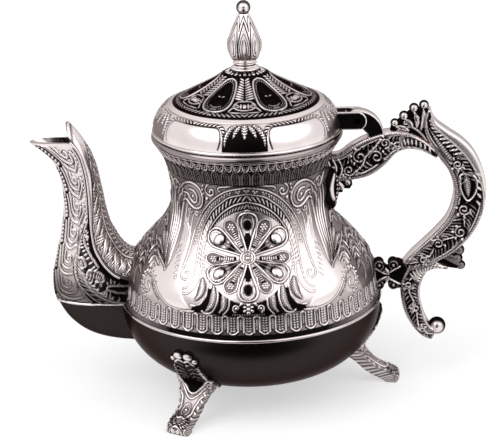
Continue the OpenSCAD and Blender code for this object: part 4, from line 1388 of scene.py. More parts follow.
@dataclass
class Handle:
    """The cast handle with its crest, beads, knob, leaf plate and lower bracket."""

    body: Body
    root_x: float = 41.0
    root_z: float = 122.5
    half: float = 5.2
    bead_r: float = 2.6
    knob_r: float = 4.7
    plate_t: float = 1.6
    plate_rise: float = 6.0
    root: Points = ((-1, 0.0, 6.6), (9, 0.2, 7.6), (18, 3.6, 9.6), (25.5, 8.0, 9.2),
                    (33, 12.4, 6.9),
                    (39, 14.0, 5.4), (45, 13.6, 4.2), (52, 10.6, 2.8), (59, 5.2, 1.4))
    grip: Points = ((54.6, 30.6, 0.8), (54.6, 25.0, 2.8), (56.6, 19.6, 4.8), (61, 14.0, 6.5),
                    (66.4, 8.3, 8.0),
                    (71.3, 2.2, 8.4), (74.8, -6.0, 8.6), (76, -15.0, 8.5), (74.6, -24.4, 8.5),
                    (70.6, -33.6, 8.3),
                    (63.6, -41.6, 8.0), (55.6, -47.8, 6.8), (47.6, -52.6, 4.8), (41.4, -56.0, 2.0))
    tail: Points = ((64.6, -57.6, 0.8), (57.6, -55.6, 2.2), (50.6, -56.6, 4.2), (45.8, -62.4, 5.4),
                    (44.4, -70.0, 5.2), (45.6, -79.2, 5.0), (48.8, -87.6, 4.3), (53, -93.4, 3.6),
                    (57.4, -95.6, 3.2))
    crest: Points = ((36.6, 23.0, 0.9), (41.4, 26.8, 1), (46.6, 30.9, 1), (51.8, 32.4, 1))
    thorn: Points = ((70.6, -48.4, 1.0), (69.4, -53.0, 1.1), (71.6, -57.0, 0.85))
    knob: tuple[float, float] = (59, -91.8)
    thorn_web: Points = ((60, -47), (66, -43.5), (71.5, -47), (71, -52), (72.5, -56.5),
                         (69.5, -58.8), (65, -58),
                         (60, -55))
    crest_web: Points = ((50, 10), (58, 15), (54.5, 22), (54, 30), (50, 31.5), (44, 29.5),
                         (39, 25.5), (34.5, 21.5),
                         (33, 15))

    def lane(self, band: Points, share: float, start: float = 0.0, end: float = 1.0,
             n: int = 60) -> np.ndarray:
        """Points along a band at a share of its half width, positive on the side of the fingers."""
        t = np.linspace(start, end, n)
        s = spline(band, t)
        d = spline(band, np.clip(t + 0.004, 0, 1)) - spline(band, np.clip(t - 0.004, 0, 1))
        normal = np.stack([d[:, 1], -d[:, 0]], axis=1) / np.hypot(d[:, 0], d[:, 1])[:, None]
        return s[:, :2] + share * s[:, 2:3] * normal

    def outline(self, band: Points) -> np.ndarray:
        """Closed outline of a band."""
        return np.vstack([self.lane(band, 1, n=70), self.lane(band, -1, n=70)[::-1]])

    def wrap(self, x: np.ndarray, y: np.ndarray, c: np.ndarray) -> np.ndarray:
        """Puts the casting's plane upright through the pot's axis."""
        return np.stack([x + self.root_x, -c, y + self.root_z], axis=-1)

    def spot(self, band: Points, t: float, share: float) -> np.ndarray:
        """One point of a band."""
        return self.lane(band, share, t, t, 1)[0]

    def path(self, band: Points, *places: tuple[float, float]) -> list[np.ndarray]:
        """Points of a band for (place along it, share of its half width)."""
        return [self.spot(band, t, share) for t, share in places]

    def ribs(self, art: Relief, band: Points, start: float, step: float, count: int, run: Points,
             half: float, rise: float, gutter: float) -> None:
        """Lays a row of leaflets along a band.

        Args:
            art: Relief of the casting.
            band: Stations of the band.
            start: Where the row starts along the band.
            step: Distance from one leaflet to the next, of the band's length.
            count: Number of leaflets.
            run: Points of a leaflet, as (place from its foot, share of the half width).
            half: Largest half width of a leaflet in mm.
            rise: Height in mm.
            gutter: Width of the dark line round it in mm.
        """
        for k in range(count):
            foot = start + step * k
            places = ((foot + ahead, share) for ahead, share in run)
            art.leaflet(self.path(band, *places), half, rise, gutter)

    def plume(self, art: Relief, band: Points, start: float, end: float, low: float, high: float,
              waves: float, lean: float = 0.03) -> None:
        """Fills a strip of a band with a waving stem that feathers out to both of its edges.

        Args:
            art: Relief of the casting.
            band: Stations of the band.
            start: Where the strip starts along the band.
            end: Where it ends.
            low: Share of the half width at one edge of the strip.
            high: Share at the other edge.
            waves: Number of waves of the stem.
            lean: How far along the band a leaflet leans.
        """
        middle, amp = (low + high) / 2, (high - low) / 2
        run = np.hypot(*np.diff(self.lane(band, middle, start, end), axis=0).T).sum()
        count = int(run / 1.9)
        turn = 2 * math.pi * waves
        swing = lambda t: middle + 0.5 * amp * math.sin(turn * (t - start) / (end - start) + 0.6)
        at = np.linspace(start, end, count + 1)
        for k, t in enumerate(at):
            for side in (-1, 1):
                edge, foot = middle + 0.96 * side * amp, swing(t)
                tip = min(t + lean, 0.99)
                bend = ((t + tip) / 2, (foot + edge) / 2 + 0.16 * side)
                art.leaflet(self.path(band, (t, foot), bend, (tip, edge)), 0.6, 0.8, 0.3, 0.6,
                            0.7 if k % 3 else 0.4)
        art.wire(self.path(band, *((t, swing(t)) for t in at)), 0.5, 0.8, 0.4)
        for k in range(int(2 * waves)):
            t = start + (end - start) * (k + 0.35) / (2 * waves)
            side = 1 if k % 2 else -1
            spot = self.spot(band, t, middle - 0.4 * amp * side)
            r = 0.68 * amp * float(spline(band, t)[0, 2])
            art.area(arc(spot, r + 0.3, 0, 350), 0.02, -0.3)
            art.wire(curl(spot, r, 0.8, 90 * k, 500 * side), 0.5, 0.8, 0.3, 0.85)
            for m in range(4):
                way = math.radians(90 * k + side * (30 + 55 * m))
                out = np.array([math.cos(way), math.sin(way)])
                art.leaflet([spot + (r - 0.3) * out, spot + (r + 1.5) * out], 0.8, 0.7, 0.3)

    def draw_root(self, art: Relief) -> None:
        """Root band: corded borders round two compartments of scrolling leaves."""
        root = self.root
        art.area(self.closed(root, 0.64, 0.1, 0.93), 0.06, -0.5)
        for share in (0.86, -0.86):
            art.rope(self.lane(root, share, 0.02, 0.98), 0.8, 1.25, 0.45, 0.2, 0.2, floor=0.3)
        for share in (0.66, -0.66):
            art.wire(self.lane(root, share, 0.08, 0.94), 0.42, 0.45, 0.3)
        self.plume(art, root, 0.12, 0.66, -0.62, 0.62, 2.5, 0.045)
        divide = ((0.16, 0.62), (0.25, 0.25), (0.31, -0.1), (0.4, -0.3), (0.47, -0.62))
        art.wire(self.path(root, *divide), 0.6, 0.8, 0.4)
        self.ribs(art, root, 0.62, 0.04, 8, ((0, -0.5), (0.03, 0.5)), 0.8, 0.65, 0.25)
        for k in range(3):
            t = 0.03 + 0.035 * k
            art.wire(self.path(root, (t, -0.7), (t + 0.02, 0), (t, 0.7)), 0.6, 0.6, 0.35)

    def closed(self, band: Points, share: float, start: float, end: float,
               other: float | None = None) -> np.ndarray:
        """Closed outline of a strip of a band between two shares."""
        return np.vstack([self.lane(band, share, start, end),
                          self.lane(band, -share if other is None else other, start, end)[::-1]])

    def draw_grip(self, art: Relief) -> None:
        """Grip band: a smooth outer flange, a sunk panel of leaves and corded borders."""
        grip = self.grip
        inset = lambda t, deep: (t, -1.0 + deep * float(ease((0.66 - t) / 0.3)))
        flange = np.vstack([self.lane(grip, -1.05, 0.03, 0.66),
                            self.path(grip,
                                      *(inset(t, 0.62) for t in np.linspace(0.66, 0.03, 60)))])
        art.area(self.closed(grip, 0.66, 0.1, 0.96, -0.40), 0.06, -0.5)
        art.area(self.closed(grip, 0.66, 0.5, 0.96, -0.66), 0.06, -0.5)
        art.rope(self.lane(grip, -0.84, 0.46, 0.99), 0.8, 1.35, 0.45, 0.3, 0.2, floor=0.3)
        art.area(flange, 1.0, 0.1)
        art.cut(self.lane(grip, -0.95, 0.04, 0.5), 0.3, 0.15)
        art.wire(self.path(grip, *(inset(t, 0.6) for t in np.linspace(0.06, 0.62, 60))), 0.42, 0.5,
                 0.4)
        art.rope(self.lane(grip, 0.84, 0.04, 0.99), 0.8, 1.2, 0.45, 0.0, 0.2, floor=0.35)
        art.wire(self.lane(grip, 0.64, 0.08, 0.97), 0.42, 0.45, 0.3)
        art.wire(self.lane(grip, -0.66, 0.58, 0.97), 0.42, 0.45, 0.3)
        self.ribs(art, grip, 0.07, 0.028, 11, ((0, 0.15), (0.03, -0.4)), 0.75, 0.65, 0.22)
        art.leaf(self.path(grip, (0.12, 0.4), (0.2, 0.3), (0.3, 0.42), (0.40, 0.3)), 1.5, 0.85, 1.4,
                 0.6, 0.6, 0.5,
                 0.35)
        self.plume(art, grip, 0.34, 0.47, -0.38, 0.6, 0.5)
        loop = self.path(grip, (0.44, 0.3), (0.47, 0.55), (0.53, 0.55), (0.575, 0.1), (0.53, -0.35),
                         (0.47, -0.4))
        art.wire(smooth_path(loop, closed=True), 0.62, 0.8, 0.4, smooth=False)
        art.leaf(self.path(grip, (0.45, 0.1), (0.56, 0.1)), 2.0, 0.7, 1.3, 0.8, 0.4, 0.8)
        self.ribs(art, grip, 0.45, 0.03, 5, ((0, -0.4), (0.02, -0.7)), 0.8, 0.6, 0.25)
        self.plume(art, grip, 0.585, 0.955, -0.62, 0.6, 2.0)

    def draw_tail(self, art: Relief) -> None:
        """Tail band: broad ribs at its head, corded borders and small curls below."""
        art.area(self.closed(self.tail, 0.62, 0.12, 0.94), 0.06, -0.45)
        art.wire(self.lane(self.tail, 0.92, 0.03, 0.5), 0.5, 0.5, 0.3)
        art.rope(self.lane(self.tail, 0.8, 0.06, 0.96), 0.62, 1.15, 0.4, 0.0, 0.2, floor=0.35)
        art.rope(self.lane(self.tail, -0.82, 0.3, 0.98), 0.7, 1.1, 0.4, 0.0, 0.2, floor=0.35)
        self.ribs(art, self.tail, 0.05, 0.03, 11, ((0, 0.5), (0.03, -0.2), (0.02, -0.86)), 0.95,
                  0.65, 0.28)
        self.plume(art, self.tail, 0.38, 0.95, -0.68, 0.64, 1.5, 0.04)

    def draw_crest(self, art: Relief) -> None:
        """Leafy web under the crest's beads."""
        art.area(self.crest_web, 0.06)
        art.wire([(34, 17), (39, 19.5), (45, 21), (50.5, 17), (54, 12)], 0.5, 0.6, 0.4)
        for foot, tip in (((44, 19), (36.8, 21.6)), ((46, 20), (41.2, 25.6)),
                          ((48, 20), (46.4, 29.4)),
                          ((50, 19), (51.4, 30.6))):
            art.leaflet([foot, ((foot[0] + tip[0]) / 2 + 1, (foot[1] + tip[1]) / 2), tip], 1.3, 0.6,
                        0.4)
        art.wire(curl((42.4, 23.2), 1.6, 0.4, 0, 400), 0.4, 0.6, 0.3)
        art.wire(curl((48.2, 26.0), 1.6, 0.4, 120, 400), 0.4, 0.6, 0.3)
        for x, z, _ in self.thorn:
            art.leaflet([(61, -52), ((61 + x) / 2, (z - 52) / 2 + 1), (x, z)], 1.3, 0.7, 0.45, 0.6,
                        0.45)

    def build(self, metal: bpy.types.Material) -> list[bpy.types.Object]:
        """Makes the bands, the crest, the root's curl and the beads."""
        curl_foot = [(-0.6, -5), (1.5, -11), (5.4, -14.2), (8.8, -14.0), (9.4, -11.9),
                     (12.6, -12.1), (14.1, -9.8),
                     (13.4, -7.6), (14, -5)]
        bands = Casting([self.outline(self.root), self.outline(self.grip), self.outline(self.tail)],
                        self.half, 1.7)
        self.draw_root(bands.art)
        self.draw_tail(bands.art)
        self.draw_grip(bands.art)
        bands.art.shine[bands.depth < 0.7] = 0.9
        bands.art.soften()
        web = Casting([self.crest_web, self.thorn_web], 1.9, 0.8)
        self.draw_crest(web.art)
        foot = Casting([curl_foot], 3.6, 1.2)
        for path in ([(2, -5.5), (3.4, -9.5), (6.6, -13)], [(6, -5.5), (7.2, -9), (9.4, -12.5)],
                     [(10, -5.5), (10.8, -7.6), (12.6, -9.4)]):
            foot.art.leaflet(path, 1.5, 0.7, 0.4, 0.7)
        made = [bands.build("handle_bands", metal, self.tucked),
                web.build("handle_crest", metal, self.wrap),
                foot.build("handle_root_curl", metal, self.tucked)]
        crest = [(x, z, r * self.bead_r) for x, z, r in self.crest] + [(*self.knob, self.knob_r)]
        thorn = [(x, z, 1.15 * r * self.bead_r) for x, z, r in self.thorn]
        # The beads' tones feed ball_cluster's painted reflection: dark rims, bright front and back.
        for name, balls, tone in (("handle_beads", crest, (0.04, 0.92)),
                                  ("handle_thorn", thorn, (0.02, 0.45))):
            placed = [((x + self.root_x, 0, z + self.root_z), r) for x, z, r in balls]
            made.append(ball_cluster(name, placed, metal, tone))
        return made

    def tucked(self, x: np.ndarray, y: np.ndarray, c: np.ndarray) -> np.ndarray:
        """Upright plane, with what would reach inside the pot moved into its sheet."""
        return self.body.push_out(self.wrap(x, y, c), 0.4)

    def on_neck(self, x: np.ndarray, y: np.ndarray, c: np.ndarray) -> np.ndarray:
        """Wraps a plate round the neck behind the handle."""
        mid = self.root_z - 9.5
        bulge = np.clip(1 - (x / 12.4) ** 2, 0, 1) * np.clip(1 - ((y - mid) / 14.0) ** 2, 0, 1)
        r = self.body.reach(y) + c
        out = r + self.plate_rise * bulge * np.clip(c / self.plate_t, 0, 1)
        return np.stack([out * np.cos(x / r), out * np.sin(x / r), y], axis=-1)

    def leaf_plate(self, metal: bpy.types.Material) -> bpy.types.Object:
        """The leaf plate on the neck: a bright edge round dotted veins."""
        w, h, mid = 12.0, 13.5, self.root_z - 9.5
        a = np.radians(np.arange(0, 360, 5))
        outline = np.stack([w * np.sin(a) * (1 + 0.10 * np.cos(6 * a)),
                            mid + h * np.cos(a) * (1 + 0.04 * np.cos(6 * a))],
                           axis=1)
        plate = Casting([outline], self.plate_t, 0.5, 0.3)
        plate.art.area(outline, 0.1)
        for side in (-1, 1):
            plate.art.wire([(0, mid - h + 1), (side * w * 0.62, mid - 6.5), (side * w * 0.8, mid),
                            (side * w * 0.62, mid + 6.5), (0, mid + h - 1)], 0.95, 0.6, 0.4)
            for row in range(9):
                y = mid - 9.5 + 2.3 * row
                plate.art.beads([(side * 1.0, y - 0.6), (side * 6.6, y + 1.8)], 0.8, 1.8, 0.5)
        plate.art.wire([(0, mid - h + 1), (0, mid + h - 1)], 0.5, 0.45, 0.4)
        return plate.build("neck_leaf", metal, self.on_neck, 0.0)

    def bracket(self, metal: bpy.types.Material) -> bpy.types.Object:
        """The lyre-shaped bracket between the belly and the tail."""
        x0 = self.body.belly_r - 3 - self.root_x
        length, high, lobe_r = 42 - self.body.belly_r + 3 + self.root_x, 8.5, 17 / 6
        waist, lobe_x, lobe_y = length / 2 + 0.5, (5.2, length - 6.6), high - lobe_r
        body = [(0, 3 - high), (5, 0.6 - high), (waist, 4.6 - high), (length - 6.6, 0.6 - high),
                (length, 3 - high),
                (length, high - 3), (length - 6.6, high - 0.6), (waist, high - 4.6),
                (5, high - 0.6), (0, high - 3)]
        lobes = [arc((x, side * lobe_y), lobe_r, 0, 355) for side in (-1, 1) for x in lobe_x]
        shift = np.array([x0, 61.5 - self.root_z])
        cast = Casting([smooth_path(body, closed=True) + shift] + [lobe + shift for lobe in lobes],
                       4.0, 1.4, 0.3)
        art = cast.art
        art.shine[:, :] = 0.07
        for side in (-1, 1):
            for x in lobe_x:
                art.wire(arc(np.array([x, side * lobe_y]) + shift, 2.3, 0, 360), 0.42, 0.7, 0.4,
                         0.5)
                art.dome(np.array([x, side * lobe_y]) + shift, 0.9, 0.7, gutter=0.3, shine=0.6)
            art.wire(np.array([(3.4, side * 4.4), (6.4, side * 2.6), (waist, side * 2.4),
                               (length - 8, side * 2.6),
                               (length - 4, side * 5)]) + shift, 0.4, 0.5, 0.4, 0.5)
            art.wire(np.array([(2.4, side * 4.6), (7, side * 1.6), (waist, side * 0.8),
                               (length - 9, side * 1.6),
                               (length - 3, side * 5)]) + shift, 0.45, 0.55, 0.4)
            art.leaflet(np.array([(waist, side * 0.6), (waist - 1.4, side * 4.4)]) + shift, 0.9,
                        0.5, 0.3)
        return cast.build("tail_bracket", metal, self.tucked)


def ball_cluster(name: str, balls: Sequence[tuple[Sequence[float], float]],
                 metal: bpy.types.Material,
                 tone: tuple[float, float] = (0.2, 1.0)) -> bpy.types.Object:
    """Makes one mesh of several balls.

    Args:
        name: Name of the object.
        balls: Centre and radius of each, in mm.
        metal: Material of every face.
        tone: Shine round the edge and on the front and back of the balls, a painted reflection.

    Returns:
        The linked object.
    """
    bm = bmesh.new()
    for centre, radius in balls:
        bmesh.ops.create_uvsphere(bm, u_segments=32, v_segments=20, radius=radius * MM,
                                  matrix=Matrix.Translation(Vector(centre) * MM))
    mesh = bpy.data.meshes.new(name)
    bm.to_mesh(mesh)
    bm.free()
    # Painted reflection: balls dark round their rims and bright where they face front or back.
    facing = np.abs([v.normal.y for v in mesh.vertices])
    set_shine(mesh, tone[0] + (tone[1] - tone[0]) * ease((facing - 0.5) / 0.42))
    return finished(name, mesh, metal)


# ---------------------------------------------------------------- trim laid along paths


class Laid(Enum):
    """What Geometry Nodes lay along a path."""

    TUBE = "tube"
    BEADS = "beads"


class Trim:
    """Tubes and strings of beads that follow paths, joined into one piece."""

    def __init__(self, name: str, metal: bpy.types.Material) -> None:
        """Starts an empty piece.

        Args:
            name: Name of the finished object.
            metal: Material of every face.
        """
        self.name, self.metal = name, metal
        self.bm = bmesh.new()
        self.bm.verts.layers.float.new("shine")

    def group(self, kind: Laid) -> bpy.types.NodeTree:
        """Builds the node group that lays tubes or beads along a curve."""
        tree = bpy.data.node_groups.new("lay_" + kind.value, "GeometryNodeTree")
        tree.interface.new_socket("Geometry", in_out="OUTPUT", socket_type="NodeSocketGeometry")
        for name, sort in (("Geometry", "Geometry"), ("Width", "Float"), ("Length", "Float"),
                           ("Spacing", "Float"),
                           ("Shine", "Float"), ("Finish", "Material")):
            tree.interface.new_socket(name, in_out="INPUT", socket_type="NodeSocket" + sort)
        add, link = tree.nodes.new, tree.links.new
        given, out = add("NodeGroupInput"), add("NodeGroupOutput")
        curve = add("GeometryNodeMeshToCurve")
        link(given.outputs["Geometry"], curve.inputs["Mesh"])
        if kind is Laid.TUBE:
            ring, sweep = add("GeometryNodeCurvePrimitiveCircle"), add("GeometryNodeCurveToMesh")
            ring.inputs["Resolution"].default_value = 12
            sweep.inputs["Fill Caps"].default_value = True
            link(given.outputs["Width"], ring.inputs["Radius"])
            link(curve.outputs["Curve"], sweep.inputs["Curve"])
            link(ring.outputs["Curve"], sweep.inputs["Profile Curve"])
            shape = sweep.outputs["Mesh"]
        else:
            even, ball, lay = (add("GeometryNodeResampleCurve"), add("GeometryNodeMeshUVSphere"),
                               add("GeometryNodeInstanceOnPoints"))
            even.mode = "LENGTH"
            ball.inputs["Segments"].default_value, ball.inputs["Rings"].default_value = 10, 6
            ball.inputs["Radius"].default_value = 1.0
            way, turn, size = (add("GeometryNodeInputTangent"),
                               add("FunctionNodeAlignRotationToVector"),
                               add("ShaderNodeCombineXYZ"))
            turn.axis = "X"
            link(curve.outputs["Curve"], even.inputs["Curve"])
            link(given.outputs["Spacing"], even.inputs["Length"])
            link(even.outputs["Curve"], lay.inputs["Points"])
            link(ball.outputs["Mesh"], lay.inputs["Instance"])
            link(way.outputs["Tangent"], turn.inputs["Vector"])
            link(turn.outputs["Rotation"], lay.inputs["Rotation"])
            link(given.outputs["Length"], size.inputs["X"])
            link(given.outputs["Width"], size.inputs["Y"])
            link(given.outputs["Width"], size.inputs["Z"])
            link(size.outputs["Vector"], lay.inputs["Scale"])
            shape = lay.outputs["Instances"]
        whole, smooth, mark, coat = (add("GeometryNodeRealizeInstances"),
                                     add("GeometryNodeSetShadeSmooth"),
                                     add("GeometryNodeStoreNamedAttribute"),
                                     add("GeometryNodeSetMaterial"))
        mark.data_type, mark.domain = "FLOAT", "POINT"
        mark.inputs["Name"].default_value = "shine"
        link(shape, smooth.inputs["Geometry"])
        link(smooth.outputs["Geometry"], whole.inputs["Geometry"])
        link(whole.outputs["Geometry"], mark.inputs["Geometry"])
        link(given.outputs["Shine"], mark.inputs["Value"])
        link(mark.outputs["Geometry"], coat.inputs["Geometry"])
        link(given.outputs["Finish"], coat.inputs["Material"])
        link(coat.outputs["Geometry"], out.inputs["Geometry"])
        return tree

    def lay(self, kind: Laid, path: np.ndarray, width: float, length: float = 0.5,
            spacing: float = 1.0,
            shine: float = 1.0) -> None:
        """Lays a tube or a string of beads along a path.

        Args:
            kind: Tube or beads.
            path: Points in mm.
            width: Radius across the path in mm.
            length: Half length of a bead along the path in mm.
            spacing: Distance between beads in mm.
            shine: Shine of the trim.
        """
        line = bpy.data.meshes.new("path")
        line.from_pydata((path * MM).tolist(), [(k, k + 1) for k in range(len(path) - 1)], [])
        carrier = linked("path", line)
        tree = bpy.data.node_groups.get("lay_" + kind.value) or self.group(kind)
        mod = carrier.modifiers.new("lay", "NODES")
        mod.node_group = tree
        wanted = {"Width": width * MM, "Length": length * MM, "Spacing": spacing * MM,
                  "Shine": shine,
                  "Finish": self.metal}
        for item in tree.interface.items_tree:
            if item.in_out == "INPUT" and item.name in wanted:
                mod[item.identifier] = wanted[item.name]
        seen = carrier.evaluated_get(bpy.context.evaluated_depsgraph_get())
        mesh = bpy.data.meshes.new_from_object(seen)
        self.bm.from_mesh(mesh)
        carrier.modifiers.remove(mod)
        bpy.data.objects.remove(carrier)
        bpy.data.meshes.remove(mesh)
        bpy.data.meshes.remove(line)

    def finish(self) -> bpy.types.Object:
        """Joins what was laid into one linked object."""
        bmesh.ops.remove_doubles(self.bm, verts=self.bm.verts, dist=1e-8)
        bmesh.ops.recalc_face_normals(self.bm, faces=self.bm.faces)
        mesh = bpy.data.meshes.new(self.name)
        self.bm.to_mesh(mesh)
        self.bm.free()
        return finished(self.name, mesh, self.metal, 60)


# ---------------------------------------------------------------- spout


@dataclass
class Spout:
    """The spout: an embossed front shell on a plain base, closed by a back cover."""

    body: Body
    half_w: float = 15.5
    wall: float = 1.3
    lip: float = 0.8
    beak_z: float = 139.6
    girth: float = 26.0
    length: float = 96.0
    back_length: float = 92.0
    back_girth: float = 20.0
    rows: int = 380
    columns: int = 96
    scales: int = 7
    pitch: float = 14.2
    stations: Points = (
        (12, -25.5, 12, 25, .86, .76), (-3, -24, 5, 27, .97, .76), (-15, -21, 2, 29, 1, .76),
        (-24, -16, -1, 33, 1, .76), (-31.5, -8, -3, 37, .98, .76), (-36.3, 3, -5, 41, .92, .76),
        (-36.6, 14.5, -6.6, 47, .83, .76), (-34.3, 26, -7.6, 52, .74, .75),
                        (-31.6, 38, -8.4, 58, .66, .74),
        (-29.5, 51, -9.6, 65, .59, .74), (-29.6, 63, -11.3, 74, .53, .76),
                        (-32.2, 74, -15, 84, .47, .80),
        (-38.4, 82, -19.5, 92, .42, .76), (-45.4, 88, -24.8, 98.6, .37, .68))

    def __post_init__(self) -> None:
        """Tabulates the angle by the share of a section's girth, and the two cutting planes."""
        a = np.linspace(0, math.pi / 2, 200)
        x, y = 19 * (1 - np.cos(a) ** 0.8), 12 * np.sin(a) ** 0.8
        run = profile(x, y)[2]
        self.share, self.angle = run / run[-1], a
        self.at = np.linspace(0, 1, 500)
        self.cols = np.linspace(0, 1, 61)
        z = self.section(self.at[:, None] + 0 * self.cols, 0 * self.at[:, None] + self.cols)[..., 2]
        self.seam_t = np.array([np.interp(self.body.seam_z, z[:, j], self.at) for j in range(61)])
        self.beak_t = np.array([np.interp(self.beak_z, z[:, j], self.at) for j in range(61)])
        self.steps = np.linspace(0, 1, 200)
        t = self.seam_t + (self.beak_t - self.seam_t) * self.steps[:, None]
        self.rise = self.section(t, np.broadcast_to(self.cols, t.shape))[..., 2] - self.body.seam_z

    def _ends(self, t: np.ndarray) -> tuple[np.ndarray, ...]:
        """Front edge, back edge and rib of sections in the pot's plane, and their half widths."""
        s = spline(self.stations, t.ravel()).reshape(t.shape + (6,))
        front = np.stack([s[..., 0] - self.body.seam_r, s[..., 1] + self.body.seam_z], axis=-1)
        back = np.stack([s[..., 2] - self.body.seam_r, s[..., 3] + self.body.seam_z], axis=-1)
        rib = front + (back - front) * s[..., 5:6]
        return front, back, rib, s[..., 4] * self.half_w

    def section(self, t: np.ndarray, share: np.ndarray, cut: float = 0.0) -> np.ndarray:
        """Points of the front shell.

        Args:
            t: Place along the spout, 0 to 1.
            share: Share of the half girth, 0 at the front edge and 1 at the rib, signed by side.
            cut: Distance inward from the outer face.

        Returns:
            Points in mm.
        """
        front, _, rib, wide = self._ends(t)
        inward = rib - front
        front = front + inward / np.linalg.norm(inward, axis=-1, keepdims=True) * cut
        a = np.interp(np.abs(share), self.share, self.angle)
        p = rib + (front - rib) * (np.cos(a) ** 0.8)[..., None]
        y = np.sign(share) * np.sin(a) ** 0.8 * (wide - cut)
        return np.stack([p[..., 0], y, p[..., 1]], axis=-1)

    def upright(self, path: Points) -> np.ndarray:
        """Chart points of the front shell for (height above the seam, length round it)."""
        out = []
        for z, g in path:
            at = min(max(g / self.girth, 0.0), 0.9999) * 60
            j, part = int(at), at % 1
            column = self.rise[:, j] * (1 - part) + self.rise[:, j + 1] * part
            out.append((float(np.interp(z, column, self.steps)) * self.length, g))
        return np.array(out)

    def cover(self, t: np.ndarray, share: np.ndarray, cut: float = 0.0) -> np.ndarray:
        """Points of the back cover, as for the front shell, with share 0 at the back edge."""
        _, back, rib, wide = self._ends(t)
        outward = back - rib
        back = back - outward / np.linalg.norm(outward, axis=-1, keepdims=True) * cut
        a = np.abs(share) * math.pi / 2
        p = rib + (back - rib) * np.cos(a)[..., None]
        y = np.sign(share) * np.sin(a) * (wide + (self.lip if cut == 0 else -cut))
        return np.stack([p[..., 0], y, p[..., 1]], axis=-1)

    def part(self, name: str, face: Callable, art: Relief | None, t_low: Callable, t_high: Callable,
             rows: int, metal: bpy.types.Material, inner_shine: float = 0.05) -> bpy.types.Object:
        """Makes one sheet of the spout, with its inner wall.

        Args:
            name: Name of the object.
            face: Gives points for (t, share, cut).
            art: Relief of one half, or None for a plain sheet.
            t_low: Lower end of t for a share.
            t_high: Upper end of t for a share.
            rows: Number of rows along the sheet.
            metal: Material of every face.
            inner_shine: Shine of the inner wall.

        Returns:
            The linked object.
        """
        columns = art.height.shape[1] - 1 if art else 40
        half = np.linspace(0, 1, columns + 1)
        v = np.concatenate([-half[::-1], half[1:]])
        u = np.linspace(0, 1, rows)
        uu, vv = np.meshgrid(u, v, indexing="ij")
        low, high = t_low(np.abs(vv)), t_high(np.abs(vv))
        tt = low + (high - low) * uu
        outer = face(tt, vv)
        if art:
            du, dv = np.gradient(outer, axis=0), np.gradient(outer, axis=1)
            normal = np.cross(du, dv)
            normal /= np.maximum(np.linalg.norm(normal, axis=2, keepdims=True), 1e-9)
            middle = face(tt, vv, 3.0)
            normal *= np.sign(((outer - middle) * normal).sum(2).mean())
            shine = folded(art.shine)
            outer = outer + normal * folded(art.height)[..., None]
        else:
            shine = np.ones(uu.shape)
        w = np.linspace(1, -1, 15)
        uw, ww = np.meshgrid(u, w, indexing="ij")
        low, high = t_low(np.abs(ww)), t_high(np.abs(ww))
        inner = face(low + (high - low) * uw, ww, self.wall)
        points = self.body.push_out(np.concatenate([outer, inner], axis=1), 0.6)
        tone = np.concatenate([shine, inner_shine + (uw > 0.9) * (t_high(np.zeros(1))[0] >= 1.0)],
                              axis=1)
        return skin_object(name, Skin(points, tone), metal, 75)

    def draw_front(self) -> Relief:
        """Embosses one half of the front shell: nested scales, bead strings and leaves."""
        def surface(u: np.ndarray, v: np.ndarray) -> np.ndarray:
            """Front shell points between the seam's plane and the mouth's."""
            low, high = np.interp(v, self.cols, self.seam_t), np.interp(v, self.cols, self.beak_t)
            return self.section(low + (high - low) * u, v + 0 * u)

        art = Relief(surface, np.linspace(0, 1, self.rows), np.linspace(0, 1, self.columns + 1),
                     lambda p: p / (self.length, self.girth), 0.9)
        drift = lambda z: float(np.interp(z, (4, 26, 50), (-2.6, 0.4, 3.4)))
        at = lambda path: self.upright([(z, g + drift(z)) for z, g in path])
        for k in range(-2, self.scales):
            low = 3.0 + self.pitch * k
            art.wire(at([(low + 14.0, 1.6), (low + 7.0, 3.2), (low + 0.4, 4.4)]), 0.6, 0.5, 0.34)
            art.beads(at([(low + 14.6, 3.8), (low + 8.0, 5.4), (low + 2.0, 6.8)]), 1.0, 2.3, 0.8)
            art.wire(at([(low + 17.6, 5.8), (low + 12.0, 7.8), (low + 6.4, 9.2), (low + 1.8, 11.0),
                         (low, 14.2),
                         (low + 1.6, 17.4), (low + 5.6, 18.6), (low + 9.6, 18.2)]), 0.7, 0.75, 0.45)
            art.wire(at([(low + 15.6, 8.8), (low + 9.4, 10.2), (low + 5.0, 11.4), (low + 3.2, 14.2),
                         (low + 4.8, 16.4), (low + 8.2, 16.8)]), 0.62, 0.65, 0.4)
            art.wire(at([(low + 12.4, 11.6), (low + 8.0, 12.2), (low + 6.3, 14.0),
                         (low + 7.6, 15.2),
                         (low + 9.8, 15.2)]), 0.6, 0.6, 0.36)
            art.dome(at([(low + 10.0, 13.8)])[0], 0.9, 0.5, gutter=0.32)
            if k < 3:
                art.dome(at([(low + 12.4, 18.4)])[0], 1.2, 0.5, gutter=0.36)
        zone = self.upright([(-2, 15.6), (16, 16.6), (27, 18.6), (37, 21.2), (47, 24.6), (47, 26),
                             (-2, 26)])
        art.area(zone, 0.2)
        art.wire(zone[:5], 0.62, 0.7, 0.55)
        for head in ([(0.6, 17.2), (11.8, 16.7), (22.0, 17.4), (28.0, 19.0), (27.0, 21.0),
                      (22.5, 21.2), (21.6, 19.6)],
                     [(0.8, 19.2), (8.0, 18.4), (15.6, 19.2), (20.3, 21.4), (18.7, 23.6),
                      (14.4, 23.0), (14.0, 21.4)],
                     [(1.4, 20.6), (3.0, 23.4), (7.6, 24.6), (11.4, 23.4), (9.6, 21.6),
                      (6.6, 22.2)],
                     [(22.0, 24.4), (29.0, 23.8), (35.0, 22.4), (39.0, 22.8), (38.0, 24.0)]):
            line = smooth_path(self.upright(head), 1.75)
            for here, after in zip(line[:-3], line[1:]):
                way = (after - here) / np.linalg.norm(after - here)
                side = np.array([way[1], -way[0]]) * (1 if head[0][0] > 20 else -1)
                art.leaflet([here, here + 1.2 * side + 0.6 * way, here + 2.1 * side + 1.5 * way],
                            0.62, 0.6, 0.22, 0.6)
